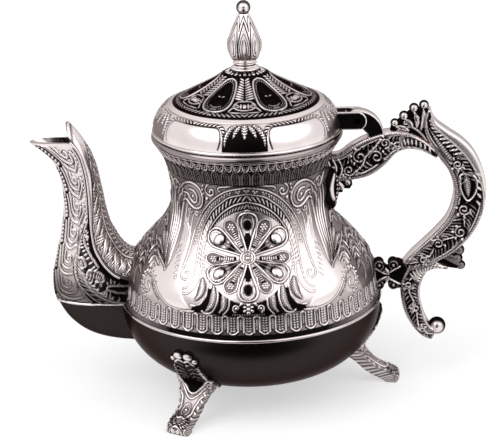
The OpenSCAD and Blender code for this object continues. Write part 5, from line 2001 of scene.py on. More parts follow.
            art.wire(line, 0.6, 0.8, 0.5, smooth=False)
            art.dome(line[-1], 1.2, 0.7, gutter=0.36)
        # Painted shade: the front shell grows darker towards its foot, where it turns downward.
        fade = 0.4 + 0.6 * ease(np.linspace(-0.15, 3.0, self.rows))
        art.shine *= fade[:, None]
        art.area([(0, 24.4), (97, 24.4), (97, 27), (0, 27)], 0.0, -0.2)
        art.wire([(0.8, -1), (0.8, 27)], 0.5, 0.5, 0.5)
        art.area([(93.6, -1), (93.6, 27), (97, 27), (97, -1)], 0.95, 0.3)
        art.soften()
        return art

    def draw_back(self) -> Relief:
        """Embosses one half of the back cover: a waved stem with leaves, and a polished tip."""
        art = Relief(lambda u, v: self.cover(u, v + 0 * u), np.linspace(0, 1, 300),
                     np.linspace(0, 1, 56),
                     lambda p: p / (self.back_length, self.back_girth), 0.72)
        bottom, top, pitch = 4.0, 80.0, 13.6
        art.area([(0, 8.0), (0, 18.8), (top, 18.8), (top, 8.0)], 0.45)
        for phase in (0, 1):
            for shift in (-1.5, 0.0, 1.5):
                stem = [(bottom + pitch * k / 4 + shift,
                         13.2 + 4.4 * math.sin(math.pi * (k / 2 + phase)))
                        for k in range(23)]
                art.wire(stem, 0.52, 0.5, 0.36)
        art.wire([(bottom, 7.4), (top, 7.4)], 0.5, 0.5, 0.4)
        for k in range(18):
            art.leaflet([(bottom + 4.2 * k, 3.9), (bottom + 4.2 * k + 3.0, 6.6)], 0.9, 0.5, 0.3)
        art.rope([(bottom, 1.6), (top, 1.6)], 1.1, 2.2, 0.4, 0.9, 0.4, floor=0.25)
        art.wire([(bottom, 3.4), (top, 3.4)], 0.42, 0.5, 0.4)
        art.area([(0, 18.6), (0, 21), (top, 21), (top, 18.6)], 0.5)
        plate = [(top + 1.0, -1), (top - 2.4, 8.0), (top - 8.0, 13.4), (top - 20.0, 16.8),
                 (top - 36.0, 19.4)]
        art.area([*plate, (top - 36.0, 21), (93, 21), (93, -1)], 1.0, 0.15)
        art.cut(plate, 0.4, 0.3)
        for k in range(8):
            art.dome((top + 9.8, 1.5 + 2.1 * k), (1.2, 0.42), 0.0, 0, 0.0, 0.02)
        art.soften()
        return art

    def build(self, silver: bpy.types.Material,
              painted_dark_nickel: bpy.types.Material) -> list[bpy.types.Object]:
        """Makes the front shell, the plain base and the back cover, in that order."""
        seam = lambda v: np.interp(v, self.cols, self.seam_t)
        beak = lambda v: np.interp(v, self.cols, self.beak_t)
        art = self.draw_front()
        front = self.part("spout_front", self.section, art, seam, beak, self.rows, silver)
        base = self.part("spout_scoop", self.section, None, lambda v: 0 * v, seam, 60, painted_dark_nickel, 1.0)
        art = self.draw_back()
        back = self.part("spout_back", self.cover, art, lambda v: 0 * v,
                         lambda v: 1.0 - 0.085 * v ** 1.4, 300, silver)
        return [front, base, back]

    def rib_line(self, side: int) -> np.ndarray:
        """Points in mm along the bright rib where front shell and back cover meet."""
        t = np.linspace(0.12, 0.915, 90)
        return self.cover(t, np.full(t.shape, float(side)))

    def bead_line(self, side: int) -> np.ndarray:
        """Points in mm of the string of beads in front of the rib."""
        t = np.linspace(0.42, 0.86, 60)
        return self.section(t, side * np.linspace(0.915, 0.87, 60))


# ---------------------------------------------------------------- feet


@dataclass
class Foot:
    """A cast foot: a dark palmette on the bowl over a scrolled, curling leg."""

    body: Body
    name: str
    angle: float
    ankle: float = 6.0
    top: float = 10.5
    shield_t: float = 1.6
    length: float = 34.0
    rows: int = 110
    columns: int = 46
    outer: Points = ((-6.6, 27.5), (-8.2, 23.5), (-9.0, 20.2), (-7.2, 16.2), (-4, 12.4), (0.2, 9.4),
                     (4.8, 7.4),
                     (8.5, 5.6), (10, 4.0), (9.9, 1.6), (9, 0.0))
    inner: Points = ((-20, 26.0), (-20.4, 22.0), (-19.6, 18.4), (-16.4, 15.4), (-12.6, 11.6),
                     (-8.8, 7.6),
                     (-4.8, 4.6), (-1.2, 2.6), (1.2, 1.2), (2.2, 0.5), (3, 0.0))

    def leg_point(self, s: np.ndarray, q: np.ndarray, back: bool = False) -> np.ndarray:
        """Points of the leg's front or back face.

        Args:
            s: Place down the leg, 0 to 1.
            q: Place across, -1 to 1.
            back: Whether the back face is meant.

        Returns:
            Points in mm, before turning.
        """
        o = spline(self.outer, np.ravel(s)).reshape(s.shape + (2,))
        i = spline(self.inner, np.ravel(s)).reshape(s.shape + (2,))
        z = o[..., 1]
        wide = np.where(z > 8, self.ankle + (self.top - self.ankle) * ease((z - 8) / 15),
                        self.ankle + 1.2 * (1 - z / 8) ** 2)
        frill = 0.55 * np.abs(np.sin(math.pi * s * 9)) * np.clip(6 * s * (0.8 - s) * 4, 0, 1) - 0.5
        p = i if back else o + (i - o) * (0.16 * q ** 4)[..., None]
        return np.stack([p[..., 0] + self.body.seam_r, (wide + frill) * q,
                         np.maximum(p[..., 1], 0.0)], axis=-1)

    def draw_leg(self) -> Relief:
        """Embosses half the front face of the leg."""
        art = Relief(lambda u, v: self.leg_point(u, v), np.linspace(0, 1, self.rows),
                     np.linspace(0, 1, self.columns // 2 + 1), lambda p: p / (self.length, 9.0),
                     0.62)
        art.area([(0, 0), (0, 9.5), (3.2, 9.5), (4.6, 6.2), (8.2, 3.2), (9.6, 0)], 0.03, -0.2)
        art.wire([(9.8, 0), (9.0, 2.4), (6.4, 4.8), (3.8, 6.4), (2.2, 8.0), (3.6, 9.4)], 0.62, 0.7,
                 0.5)
        art.wire([(11.8, 0), (11.0, 2.6), (8.4, 5.2), (6.0, 7.0), (5.2, 8.4)], 0.4, 0.45, 0.45)
        art.wire(curl((5.4, 8.0), 1.9, 0.5, 60, 420), 0.42, 0.55, 0.4)
        art.wire([(9.5, 8.8), (11.0, 6.6), (14.0, 5.6), (17.5, 5.8), (20.0, 3.6), (19.4, 0)], 0.5,
                 0.5, 0.5)
        art.wire([(13.6, 0.0), (14.4, 2.2), (17.0, 3.0), (18.2, 1.2)], 0.3, 0.35, 0.35)
        art.dome((16.0, 0.0), 0.8, 0.4, gutter=0.35)
        for k in range(6):
            art.leaflet([(9.0 + 2.3 * k, 6.6 + 0.1 * k), (11.2 + 2.3 * k, 9.6)], 0.75, 0.5, 0.35,
                        0.6)
        art.rope([(20.4, 5.4), (22.6, 3.4), (24.4, 0.6)], 0.9, 1.3, 0.4, 0.4, 0.35)
        art.rope([(22.4, 8.6), (24.8, 5.6), (27.0, 2.4)], 0.9, 1.3, 0.4, 0.4, 0.35)
        art.wire([(25.6, 0), (26.4, 2.4), (28.6, 4.6), (31.6, 5.6)], 0.5, 0.5, 0.45)
        art.wire(curl((29.6, 1.8), 1.9, 0.5, 160, -420), 0.45, 0.5, 0.4)
        art.wire([(27.0, 8.6), (29.4, 7.2), (32.4, 7.6)], 0.4, 0.45, 0.4)
        art.soften()
        return art

    def leg(self, metal: bpy.types.Material) -> bpy.types.Object:
        """The leg, as a tube of closed loops down to the flat toe."""
        art = self.draw_leg()
        s = np.linspace(0, 1, self.rows)
        q = np.linspace(-1, 1, 2 * (self.columns // 2) + 1)
        ss, qq = np.meshgrid(s, q, indexing="ij")
        front = self.leg_point(ss, qq)
        normal = np.cross(np.gradient(front, axis=0), np.gradient(front, axis=1))
        normal /= np.maximum(np.linalg.norm(normal, axis=2, keepdims=True), 1e-9)
        bs, bq = np.meshgrid(s, np.linspace(1, -1, 9), indexing="ij")
        rear = self.leg_point(bs, bq * 0.86, True)
        few = np.arange(9) * (len(q) // 8)
        normal *= np.sign(((front[:, few] - rear[:, ::-1]) * normal[:, few]).sum(2).mean())
        fade = np.clip((1 - ss) * 12, 0, 1)
        front = front + normal * (folded(art.height) * fade)[..., None]
        front[..., 2] = np.maximum(front[..., 2], 0)
        side = [front[:, -1:] * (1 - k) + rear[:, :1] * k for k in (0.25, 0.5, 0.75)]
        other = [rear[:, -1:] * (1 - k) + front[:, :1] * k for k in (0.25, 0.5, 0.75)]
        points = np.concatenate([front, *side, rear, *other], axis=1)
        dashes = np.repeat(0.62 + 0.3 * np.sin(2 * math.pi * 17 * s)[:, None], 15, axis=1)
        tone = np.concatenate([folded(art.shine), dashes], axis=1)
        points = turned_skin(self.body.push_out(points, 0.5, self.body.bowl_z + 0.5), self.angle)
        return skin_object(self.name + "_leg", Skin(points, tone), metal, 70)

    def on_bowl(self, x: np.ndarray, y: np.ndarray, c: np.ndarray) -> np.ndarray:
        """Wraps the shield round the bowl, square to its side."""
        b = self.body
        high = b.seam_z - b.lip - b.bowl_z
        cos = np.clip(1 - (y - b.bowl_z) / high, -1, 1)
        sin = np.sqrt(1 - cos ** 2)
        nr, nz = high * sin, -(b.seam_r - b.bowl_r) * cos
        size = np.hypot(nr, nz)
        r = b.bowl_r + (b.seam_r - b.bowl_r) * sin + c * nr / size
        flat = np.stack([r * np.cos(x / r), r * np.sin(x / r), y + c * nz / size], axis=-1)
        return turned_skin(flat, self.angle)

    def shield(self, metal: bpy.types.Material) -> bpy.types.Object:
        """The palmette on the bowl."""
        lobes = [arc((x, z), r, 0, 355) for x, z, r in ((-2.9, 40.4, 3.1), (2.9, 40.4, 3.1),
                                                        (-6.6, 38.4, 1.9),
                                                       (6.6, 38.4, 1.9))]
        blade = [(-10.4, 18.6), (-9.8, 24.0), (-8.6, 30.0), (-7.8, 36.0), (-6.4, 39.0), (6.4, 39.0),
                 (7.8, 36.0),
                 (8.6, 30.0), (9.8, 24.0), (10.4, 18.6)]
        cast = Casting([blade] + lobes, self.shield_t, 0.9, 0.3)
        art = cast.art
        art.area(blade, 0.16)
        for side in (-1, 1):
            art.dome((side * 2.9, 40.8), (2.7, 1.9), 0.8, 0, 0.5)
            art.dome((side * 6.6, 38.7), (1.5, 1.2), 0.6, 0, 0.4)
            art.wire([(side * 0.5, 37.6), (side * 3.0, 38.6), (side * 5.6, 36.8)], 0.6, 0.5, 0.5)
            art.wire([(side * 9.8, 19.5), (side * 9.0, 25), (side * 7.9, 31), (side * 7.3, 35.4)],
                     0.42, 0.4, 0.4)
            art.leaf([(side * 4.4, 21.0), (side * 4.6, 28.0), (side * 3.0, 35.0)], 1.6, 0.5, 1.6,
                     0.8, 0.5, 0.7, 0.4,
                     0.28)
            for row in range(6):
                art.wire([(side * 1.2, 22.0 + 2.6 * row), (side * 4.0, 23.6 + 2.6 * row),
                          (side * 7.6, 23.0 + 2.4 * row)],
                         0.34, 0.4, 0.3, 0.5)
            art.beads([(side * 9.0, 20.5), (side * 8.2, 26), (side * 7.0, 31), (side * 6.6, 35.4)],
                      0.5, 1.7, 0.4)
        art.dome((1.2, 35.6), 0.6, 0.4, gutter=0.3)
        art.soften()
        return cast.build(self.name + "_shield", metal, self.on_bowl, 0.15, 0.4)


# ---------------------------------------------------------------- hinge


@dataclass
class Hinge:
    """Cheeks on the lid round a finned lug on the handle: faces black as painted shade, edges
    bright as painted highlights.
    """

    pin_x: float = 57.9
    pin_z: float = 148.3
    knuckle: float = 4.9
    low: float = -4.5
    lug_half: float = 3.9
    cheek: float = 1.8
    back_r: float = 14.0
    rim: float = 0.55

    def plate(self, name: str, outline: Points, half: float, y: float, metal: bpy.types.Material,
              flat: bool = False) -> bpy.types.Object:
        """A plate with faces painted black as shade and reflection, and edges painted bright as
        highlights.

        Args:
            name: Name of the object.
            outline: Closed outline, from the pin.
            half: Half thickness in mm.
            y: Place of its middle plane: across the hinge, or up where the plate is flat.
            metal: Material of every face.
            flat: Whether the plate lies flat.

        Returns:
            The linked object.
        """
        cast = Casting([outline], half, 0.25, 0.3, 0.0)
        # Painted light: the black faces are painted shade and reflection, the bright band along the
        # edges a painted highlight.
        cast.art.shine[:] = np.clip(1 - (cast.depth - self.rim) / 0.25, 0, 1)
        place_flat = lambda a, b, c: np.stack([a + self.pin_x, b, c + y], axis=-1)
        place_upright = lambda a, b, c: np.stack([a + self.pin_x, y - c, b + self.pin_z], axis=-1)
        return cast.build(name, metal, place_flat if flat else place_upright)

    def arm(self, metal: bpy.types.Material) -> list[bpy.types.Object]:
        """Two cheeks, the sunk web between them and the root on the lid."""
        end = self.lug_half + 0.3 + self.cheek
        round_end = arc((0, 0), self.knuckle, 90, math.degrees(math.asin(self.low / self.knuckle)))
        side = [(-9.4, self.low), (-11.4, self.knuckle)] + [tuple(p) for p in round_end]
        made = [self.plate("hinge_cheek_" + name, side, self.cheek / 2, y, metal)
                for name, y in (("front", -end + self.cheek / 2), ("rear", end - self.cheek / 2))]
        inner = end - self.cheek + 0.1
        web = [(-11.2, -inner), (-5.2, -inner), (-5.2, inner), (-11.2, inner)]
        made.append(self.plate("hinge_web", web, 0.65, self.pin_z + self.knuckle - 1.65, metal,
                               True))
        root = [(-10.8, -inner), (-7.9, -inner), (-7.9, inner), (-10.8, inner)]
        made.append(self.plate("hinge_root", root, 3.2, self.pin_z - 1.0, metal, True))
        return made

    def lug(self, metal: bpy.types.Material) -> bpy.types.Object:
        """The lug on the handle with its curved fin."""
        c = (0, self.knuckle - self.back_r)
        back = arc(c, self.back_r, 90, -4)
        head = arc((0, 0), self.knuckle, 270, 90)
        side = [tuple(p) for p in back] + [(5.2, -9.8), (5.2, -7.5),
                                           (2.2, -4.4)] + [tuple(p) for p in head]
        return self.plate("hinge_fin", side, self.lug_half, 0, metal)


# ---------------------------------------------------------------- lid


@dataclass
class Lid:
    """The lid: a polished rolled band with cartouches under an embossed cone."""

    edge_r: float = 49.5
    band_w: float = 9.3
    band_h: float = 14.6
    low_z: float = 143.8
    crown_r: float = 11.0
    crown_h: float = 17.0
    wall: float = 1.2
    petals: int = 6
    cartouches: int = 5
    line_points: int = 260

    @property
    def top_z(self) -> float:
        """Height of the crown."""
        return self.low_z + self.band_h + self.crown_h

    def band_line(self) -> tuple[np.ndarray, np.ndarray, np.ndarray]:
        """Radius, height and length along the rolled band from its edge up."""
        a = np.radians(np.linspace(0, 84, self.line_points))
        return profile(self.edge_r - self.band_w + self.band_w * np.cos(a),
                       self.low_z + self.band_h * np.sin(a))

    def cone_line(self) -> tuple[np.ndarray, np.ndarray, np.ndarray]:
        """Radius, height and length along the cone from the band to the crown."""
        u = np.linspace(0, 1, self.line_points)
        r0 = self.edge_r - 0.9 * self.band_w
        r = r0 + (self.crown_r - r0) * u
        return profile(r, self.low_z + self.band_h + self.crown_h * (0.9 * u + 0.1 * u ** 8))

    def draw_cone(self) -> Relief:
        """Embosses one half petal and half leaf of the cone."""
        line = self.cone_line()
        art = turned_relief(line, math.pi / self.petals, 62, 100, 0.04)
        rad = lambda b: np.interp(b, line[2], line[0])
        pt = lambda deg, b: (math.radians(deg) * rad(b), b)
        edge = [pt(30, 32.6), pt(19, 31.2), pt(14.6, 27.0), pt(13.6, 21.0), pt(14.6, 14.5),
                pt(18.5, 10.2),
                pt(24, 8.3), pt(30, 7.8)]
        inner = [pt(30, 30.6), pt(23, 29.6), pt(18.8, 26.0), pt(17.2, 21.0), pt(17.6, 15.6),
                 pt(21, 11.9),
                 pt(25.6, 10.3), pt(30, 9.9)]
        art.area(edge + [pt(31, 7.8), pt(31, 32.6)], 0.05, 0.1)
        art.beads(np.add(edge, inner) / 2, 0.42, 1.25, 0.36)
        art.wire(edge, 0.5, 0.6, 0.5)
        art.wire(inner, 0.3, 0.36, 0.3, 0.8)
        art.dome(pt(30, 14.6), (3.4, 2.6), 0.7, 0, 0.2, 0.02)
        art.wire([pt(24.0, 12.6), pt(27.0, 11.6), pt(30, 11.3)], 0.36, 0.4, 0.2, 0.7)
        art.leaflet([pt(30, 20.5), pt(30, 28.0)], 1.4, 0.5, 0.2, 0.4, 0.02)
        art.wire([pt(26.0, 19.6), pt(28.6, 19.2)], 0.34, 0.4, 0.2)
        art.beads(inner[:-1], 0.34, 1.1, 0.3)
        for row in range(9):
            b = 17.2 + 1.75 * row
            wide = 12.5 if b < 27 else 11.0
            art.leaflet([pt(0, b), pt(wide * 0.55, b + 1.3), pt(wide, b + 1.9)], 0.62, 0.5, 0.3,
                        0.6)
        art.wire([pt(0, 16.6), pt(6.5, 16.4), pt(10.6, 14.6), pt(11.6, 12.6)], 0.35, 0.4, 0.35)
        art.wire(curl(pt(7.6, 13.2), 1.8, 0.5, 90, -420), 0.36, 0.4, 0.35)
        art.dome(pt(0, 13.0), (1.0, 1.6), 0.55, 0, 0.35)
        art.leaflet([pt(3.6, 11.2), pt(3.8, 15.0)], 0.7, 0.45, 0.3)
        art.wire([pt(0, 10.0), pt(6, 10.4), pt(11, 11.8), pt(14.4, 9.0)], 0.42, 0.45, 0.4)
        art.wire([pt(0, 8.0), pt(7, 8.2), pt(13, 8.4)], 0.36, 0.4, 0.4)
        art.rope([pt(-1, 6.1), pt(31, 6.1)], 1.15, 2.6, 0.4, -1.3, 0.25, 0.55, 0.02)
        art.area([pt(-1, -0.5), pt(31, -0.5), pt(31, 3.0), pt(-1, 3.0)], 1.0, 0.45)
        art.area([pt(-1, 3.0), pt(31, 3.0), pt(31, 4.6), pt(-1, 4.6)], 0.02, -0.1)
        return art

    def draw_band(self) -> Relief:
        """Embosses half a cartouche and half a pendant leaf of the rolled band."""
        line = self.band_line()
        art = turned_relief(line, math.pi / self.cartouches, 78, 56, 0.9)
        top = line[2][-1]
        rad = lambda b: np.interp(b, line[2], line[0])
        pt = lambda deg, b: (math.radians(deg) * rad(top + b), top + b)
        frame_line = [pt(37, -3.3), pt(24.8, -3.3), pt(18.8, -3.5), pt(16.2, -5.2), pt(15.2, -8.0),
                      pt(15.0, -11.5),
                      pt(16.2, -14.8)]
        art.cut(frame_line, 0.42, 0.34, 0.02)
        art.rope([pt(37, -1.9), pt(24, -1.8), pt(17.5, -2.2), pt(14.0, -4.4), pt(12.8, -7.5)], 0.95,
                 2.3, 0.4, 1.0,
                 0.28)
        art.area([pt(0, -1.0), pt(9.0, -1.4), pt(13.4, -7.5), pt(13.8, -15.8), pt(9.0, -16.0),
                  pt(0, -16.0)], 0.02)
        art.leaf([pt(0, -1.0), pt(0, -9.4)], 1.7, 0.6, 1.5, -0.8, 0.3, 0.8, 0.4)
        art.leaf([pt(2.6, -1.6), pt(5.2, -4.4), pt(7.0, -8.6)], 1.2, 0.6, 1.4, -0.8, 0.4, 0.7, 0.4)
        art.leaf([pt(5.2, -1.4), pt(9.0, -3.6), pt(11.8, -9.0), pt(12.0, -13.0)], 1.2, 0.6, 1.4,
                 -0.8, 0.4, 0.7, 0.4)
        art.wire([pt(-1, -17.2), pt(37, -17.2)], 0.5, 0.4, 0.3)
        return art

    def build(self, metal: bpy.types.Material,
              polished: bpy.types.Material) -> list[bpy.types.Object]:
        """Makes the embossed cone and the polished rolled band."""
        cone, band = self.draw_cone(), self.draw_band()
        cone.shine *= np.where(cone.v > 4, 0.84, 1.0)
        cone.soften()
        rolled = relief_ring("lid_band", band, self.cartouches, polished, self.wall)
        # Painted highlight: the rolled band is lightened everywhere but near its front.
        lighten_away_from_front(rolled, 40, 0.5)
        return [relief_ring("lid_cone", cone, self.petals, metal, self.wall), rolled]


@dataclass
class Finial:
    """Collar, leaf bud and ball on top of the lid."""

    lid: Lid
    collar_h: float = 6.0
    bud_h: float = 24.5
    bud_r: float = 8.75
    neck_r: float = 2.7
    waist: float = 5.6
    belly: float = 0.37
    ball_r: float = 3.7
    ring_out: float = 1.5
    lobes: int = 8

    def collar(self, metal: bpy.types.Material) -> bpy.types.Object:
        """Turned collar: short leaf rays on its skirt, a broad ring and a fine ring."""
        base = self.lid.top_z - 0.4
        u = np.linspace(0, 1, 220)
        r = self.waist + (self.lid.crown_r - 0.6 - self.waist) * (1 - u) ** 5 \
            + self.ring_out * np.sin(np.pi * np.clip(2 * u - 0.2, 0, 1)) ** 2 \
            + self.ring_out / 2 * np.sin(np.pi * np.clip(4 * u - 2.6, 0, 1)) ** 2
        line = profile(r, base + (self.collar_h + 0.4) * u)
        art = turned_relief(line, math.pi / 12, 16, 90, 1.0)
        art.shine[art.v < 3.4] = 0.08
        foot = np.interp(0.0, line[2], line[0])
        art.leaflet([(0, 0.1), (0, 3.2)], 0.9, 0.4, 0.3)
        art.leaflet([(math.radians(15) * foot, 0.1), (math.radians(15) * foot * 0.8, 2.4)], 0.7,
                    0.35, 0.3)
        art.shine[(art.v > 3.5) & (art.v < 4.0)] = 0.1
        dip = np.abs(art.v - np.interp(0.63, u, line[2])) < 0.3
        art.shine[dip] = 0.15
        return relief_ring("finial_foot", art, 12, metal, 1.0)

    def bud(self, metal: bpy.types.Material) -> bpy.types.Object:
        """Bud of pointed leaves."""
        base = self.lid.top_z + self.collar_h
        a, u = np.linspace(0, np.pi / 2, 90), np.linspace(0.02, 1, 180)
        r = np.concatenate([self.waist + (self.bud_r - self.waist) * np.sin(a),
                            self.neck_r + (self.bud_r - self.neck_r) * (1 - u ** 1.35)])
        z = np.concatenate([self.belly * (1 - np.cos(a)),
                            self.belly + (1 - self.belly) * u]) * self.bud_h + base
        line = profile(r, z)
        half = math.pi / self.lobes
        art = turned_relief(line, half, 22, 130, 1.0)
        pt = lambda share, b: (share * half * np.interp(b, line[2], line[0]), b)
        art.cut([pt(1, 2.2), pt(0.96, 9), pt(0.8, 14), pt(0.4, 19.4), pt(0, 22.4)], 0.42, 0.4)
        art.cut([pt(0.05, 3.4), pt(0.5, 4.6), pt(0.66, 8.4), pt(0.5, 12.4), pt(0.1, 16.0)], 0.3,
                0.25, 0.12)
        art.cut([pt(1, 17.6), pt(0.9, 20.6), pt(0.4, 24.4), pt(0.1, 25.6)], 0.34, 0.3, 0.08)
        art.leaflet([pt(0, 5.2), pt(0, 13.2)], 0.9, 0.3, 0.3, 0.4)
        art.shine[art.v < 0.5] = 0.3
        art.soften()
        return relief_ring("finial_bud_leaves", art, self.lobes, metal, 1.0)

    def ball(self, metal: bpy.types.Material) -> bpy.types.Object:
        """Ball at the tip."""
        high = self.lid.top_z + self.collar_h + self.bud_h
        # ball_cluster paints the ball as a painted reflection: dark round its rim, bright front and
        # back.
        return ball_cluster("finial_tip", [((0, 0, high + self.ball_r - 0.6), self.ball_r)], metal)


# ---------------------------------------------------------------- studio


@dataclass(frozen=True)
class Studio:
    """Camera, lamps, world and floor."""

    distance: float = 1000.0
    height: float = 441.046
    pitch: float = 19.166
    yaw: float = -0.163
    roll: float = -1.688
    turn: float = 1.5
    focal_px: float = 1985.493
    width_px: int = 488
    sensor: float = 36.0
    soft_grey: float = 0.62
    floor_grey: float = 0.60
    floor_glow: float = 0.52
    card_grey: float = 0.01

    def camera(self) -> None:
        """Places the camera."""
        p, y, r, a = (math.radians(v) for v in (self.pitch, self.yaw, self.roll, self.turn))
        ahead = np.array([math.sin(y) * math.cos(p), math.cos(y) * math.cos(p), -math.sin(p)])
        right = np.array([math.cos(y), -math.sin(y), 0.0])
        up = np.cross(right, ahead)
        right, up = right * math.cos(r) + up * math.sin(r), up * math.cos(r) - right * math.sin(r)
        spin = np.array([[math.cos(a), -math.sin(a), 0], [math.sin(a), math.cos(a), 0], [0, 0, 1]])
        place = spin @ np.array([0.0, -self.distance, self.height]) * MM
        axes = spin @ np.stack([right, up, -ahead], axis=1)
        data = bpy.data.cameras.new("camera")
        data.sensor_width = self.sensor
        data.lens = self.sensor * self.focal_px / self.width_px
        data.clip_start, data.clip_end = 0.05, 50
        cam = linked("camera", data)
        matrix = np.eye(4)
        matrix[:3, :3], matrix[:3, 3] = axes, place
        cam.matrix_world = Matrix(matrix.tolist())
        bpy.context.scene.camera = cam

    def lamp(self, name: str, strength: float, angle: float, aim: tuple[float, float]) -> None:
        """Adds a soft sun lamp.

        Args:
            name: Name of the lamp.
            strength: Its strength.
            angle: Its angular size in degrees.
            aim: Azimuth it comes from, 0 at the camera and 90 at the right, and its elevation.
        """
        data = bpy.data.lights.new(name, "SUN")
        data.energy, data.angle = strength, math.radians(angle)
        lamp = linked(name, data)
        az, el = math.radians(aim[0]), math.radians(aim[1])
        source = Vector((math.sin(az) * math.cos(el), -math.cos(az) * math.cos(el), math.sin(el)))
        lamp.rotation_mode = "QUATERNION"
        lamp.rotation_quaternion = source.to_track_quat("Z", "Y")

    def world(self) -> None:
        """White to the camera and to gloss, plain grey light to everything else."""
        world = bpy.data.worlds.new("world")
        bpy.context.scene.world = world
        tree = bare_tree(world)
        out, mix = node(tree, "ShaderNodeOutputWorld"), node(tree, "ShaderNodeMixShader")
        soft = node(tree, "ShaderNodeBackground", Color=(*[self.soft_grey] * 3, 1))
        white = node(tree, "ShaderNodeBackground", Color=(1, 1, 1, 1))
        for k, source in enumerate((self.seen(tree), soft.outputs[0], white.outputs[0])):
            tree.links.new(source, mix.inputs[k])
        tree.links.new(mix.outputs[0], out.inputs["Surface"])

    @staticmethod
    def seen(tree: bpy.types.NodeTree) -> bpy.types.NodeSocket:
        """Output that is 1 for camera, glossy and transmission rays."""
        path = tree.nodes.new("ShaderNodeLightPath")
        first, second = tree.nodes.new("ShaderNodeMath"), tree.nodes.new("ShaderNodeMath")
        first.operation = second.operation = "MAXIMUM"
        tree.links.new(path.outputs["Is Camera Ray"], first.inputs[0])
        tree.links.new(path.outputs["Is Glossy Ray"], first.inputs[1])
        tree.links.new(first.outputs[0], second.inputs[0])
        tree.links.new(path.outputs["Is Transmission Ray"], second.inputs[1])
        return second.outputs[0]

    def floor(self) -> None:
        """A plain pale floor that is white where nothing shades it."""
        bpy.ops.mesh.primitive_circle_add(vertices=96, radius=6.0, fill_type="NGON",
                                          location=(0, 0, 0))
        disc = bpy.context.object
        disc.name = "floor"
        mat = bpy.data.materials.new("floor")
        tree = bare_tree(mat)
        out = node(tree, "ShaderNodeOutputMaterial")
        matt = node(tree, "ShaderNodeBsdfDiffuse", Color=(*[self.floor_grey] * 3, 1))
        glow = node(tree, "ShaderNodeEmission", Color=(1, 1, 1, 1))
        add, amount = node(tree, "ShaderNodeAddShader"), node(tree, "ShaderNodeMath")
        amount.operation = "MULTIPLY"
        amount.inputs[1].default_value = self.floor_glow
        tree.links.new(self.seen(tree), amount.inputs[0])
        tree.links.new(amount.outputs[0], glow.inputs["Strength"])
        tree.links.new(matt.outputs[0], add.inputs[0])
        tree.links.new(glow.outputs[0], add.inputs[1])
        tree.links.new(add.outputs[0], out.inputs["Surface"])
        disc.data.materials.append(mat)

    def card(self, name: str, corners: Points) -> None:
        """A dark studio card that only gloss sees, so that polished metal shows some contrast.

        Args:
            name: Name of the card.
            corners: Its corners in mm.
        """
        mesh = bpy.data.meshes.new(name)
        mesh.from_pydata([[c * MM for c in p] for p in corners], [], [tuple(range(len(corners)))])
        mat = bpy.data.materials.new(name)
        tree = bare_tree(mat)
        out = node(tree, "ShaderNodeOutputMaterial")
        matt = node(tree, "ShaderNodeBsdfDiffuse", Color=(*[self.card_grey] * 3, 1))
        tree.links.new(matt.outputs[0], out.inputs["Surface"])
        mesh.materials.append(mat)
        made = linked(name, mesh)
        for ray in ("camera", "diffuse", "shadow", "transmission"):
            setattr(made, "visible_" + ray, False)

    def build(self) -> None:
        """Sets up everything round the pot."""
        bpy.context.scene.view_settings.view_transform = "Standard"
        self.camera()
        self.world()
        self.lamp("key", 1.1, 50, (-50, 48))
        self.lamp("fill", 0.7, 60, (60, 40))
        self.floor()
        self.card("card_front",
                  [(-250, -1150, 10), (420, -1150, 10), (420, -1150, 620), (-250, -1150, 620)])
        self.card("card_low",
                  [(-120, -900, 1.0), (230, -900, 1.0), (130, -105, 1.0), (-110, -105, 1.0)])


# ---------------------------------------------------------------- assembly


def paint(nodes: Iterable[str], material: bpy.types.Material) -> None:
    """Gives CAD nodes a material."""
    for name in nodes:
        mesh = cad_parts[name].data
        mesh.materials.clear()
        mesh.materials.append(material)


def place(made: Iterable[bpy.types.Object], body: str, slot: str, *nodes: str) -> None:
    """Lets new pieces ride on a body in place of CAD nodes.

    Args:
        made: The new pieces.
        body: Name of the body.
        slot: Name of the record's material slot; not used.
        nodes: CAD nodes that they stand for.
    """
    for piece in made:
        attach(piece, body)
        if nodes:
            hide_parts(*nodes)
        LOG.info("%s: %d faces on %s", piece.name, len(piece.data.polygons), body)


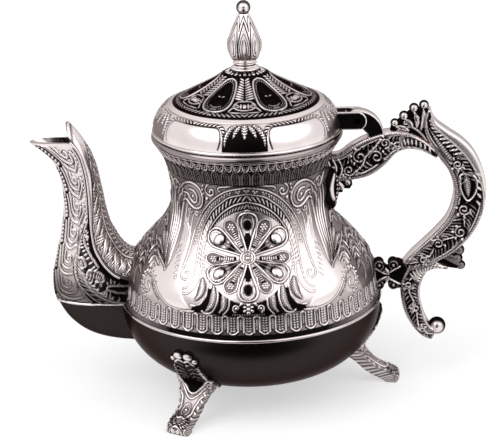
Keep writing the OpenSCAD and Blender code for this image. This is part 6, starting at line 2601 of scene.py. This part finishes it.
def main() -> None:
    """Builds the studio and every piece of the pot."""
    logging.basicConfig(level=logging.INFO)
    Studio().build()
    silver, cast, painted_dark_nickel = SILVER.material(), CAST.material(), PAINTED_DARK_NICKEL.material()
    rim, painted_dark_pin, steel = RIM.material(), PAINTED_DARK_PIN.material(), STEEL.material()
    body, lid = Body(), Lid()
    place(body.build(silver), "pot", "embossed_silver", "belly_shell")
    place([body.bowl(painted_dark_nickel)], "pot", "dark_nickel", "base_bowl")
    place(lid.build(silver, POLISHED.material()), "lid", "embossed_silver", "lid_shell")
    spout, handle = Spout(body), Handle(body)
    front, scoop, back = spout.build(silver, painted_dark_nickel)
    place([front], "pot", "embossed_silver", "spout_front_shell")
    place([scoop], "pot", "dark_nickel", "spout_base")
    place([back], "pot", "embossed_silver", "spout_back_cover")
    place(handle.build(cast), "pot", "cast_silver", "handle")
    place([handle.leaf_plate(cast)], "pot", "cast_silver", "handle_leaf")
    place([handle.bracket(cast)], "pot", "cast_silver", "lower_bracket")
    for name, angle in (("foot_rear", 0), ("foot_front_left", 240), ("foot_front_right", 120)):
        foot = Foot(body, name, angle)
        place([foot.leg(cast), foot.shield(cast)], "pot", "cast_silver", name)
    finial = Finial(lid)
    place([finial.collar(silver)], "lid", "embossed_silver", "finial_collar")
    place([finial.bud(silver)], "lid", "embossed_silver", "finial_bud")
    place([finial.ball(silver)], "lid", "embossed_silver", "finial_ball")
    plate, hinge = PLATE.material(), Hinge()
    place(hinge.arm(plate), "lid", "black_plate", "lid_arm")
    place([hinge.lug(plate)], "pot", "black_plate", "hinge_lug")
    rib = Trim("spout_ribs", silver)
    for side in (-1, 1):
        rib.lay(Laid.TUBE, spout.rib_line(side), 0.6)
        rib.lay(Laid.BEADS, spout.bead_line(side), 0.62, 0.85, 2.3, 0.9)
    place([rib.finish()], "pot", "embossed_silver", "spout_front_shell")
    paint(["seam_ring", "lid_lining"], rim)
    paint(["rim_collar"], SHADED.material())
    paint(["spout_flange"], painted_dark_nickel)
    paint(["hinge_pin"], painted_dark_pin)
    paint(["handle_screws", "foot_screws", "finial_stud", "finial_washer", "finial_nut"], steel)


if __name__ == "__main__":
    main()
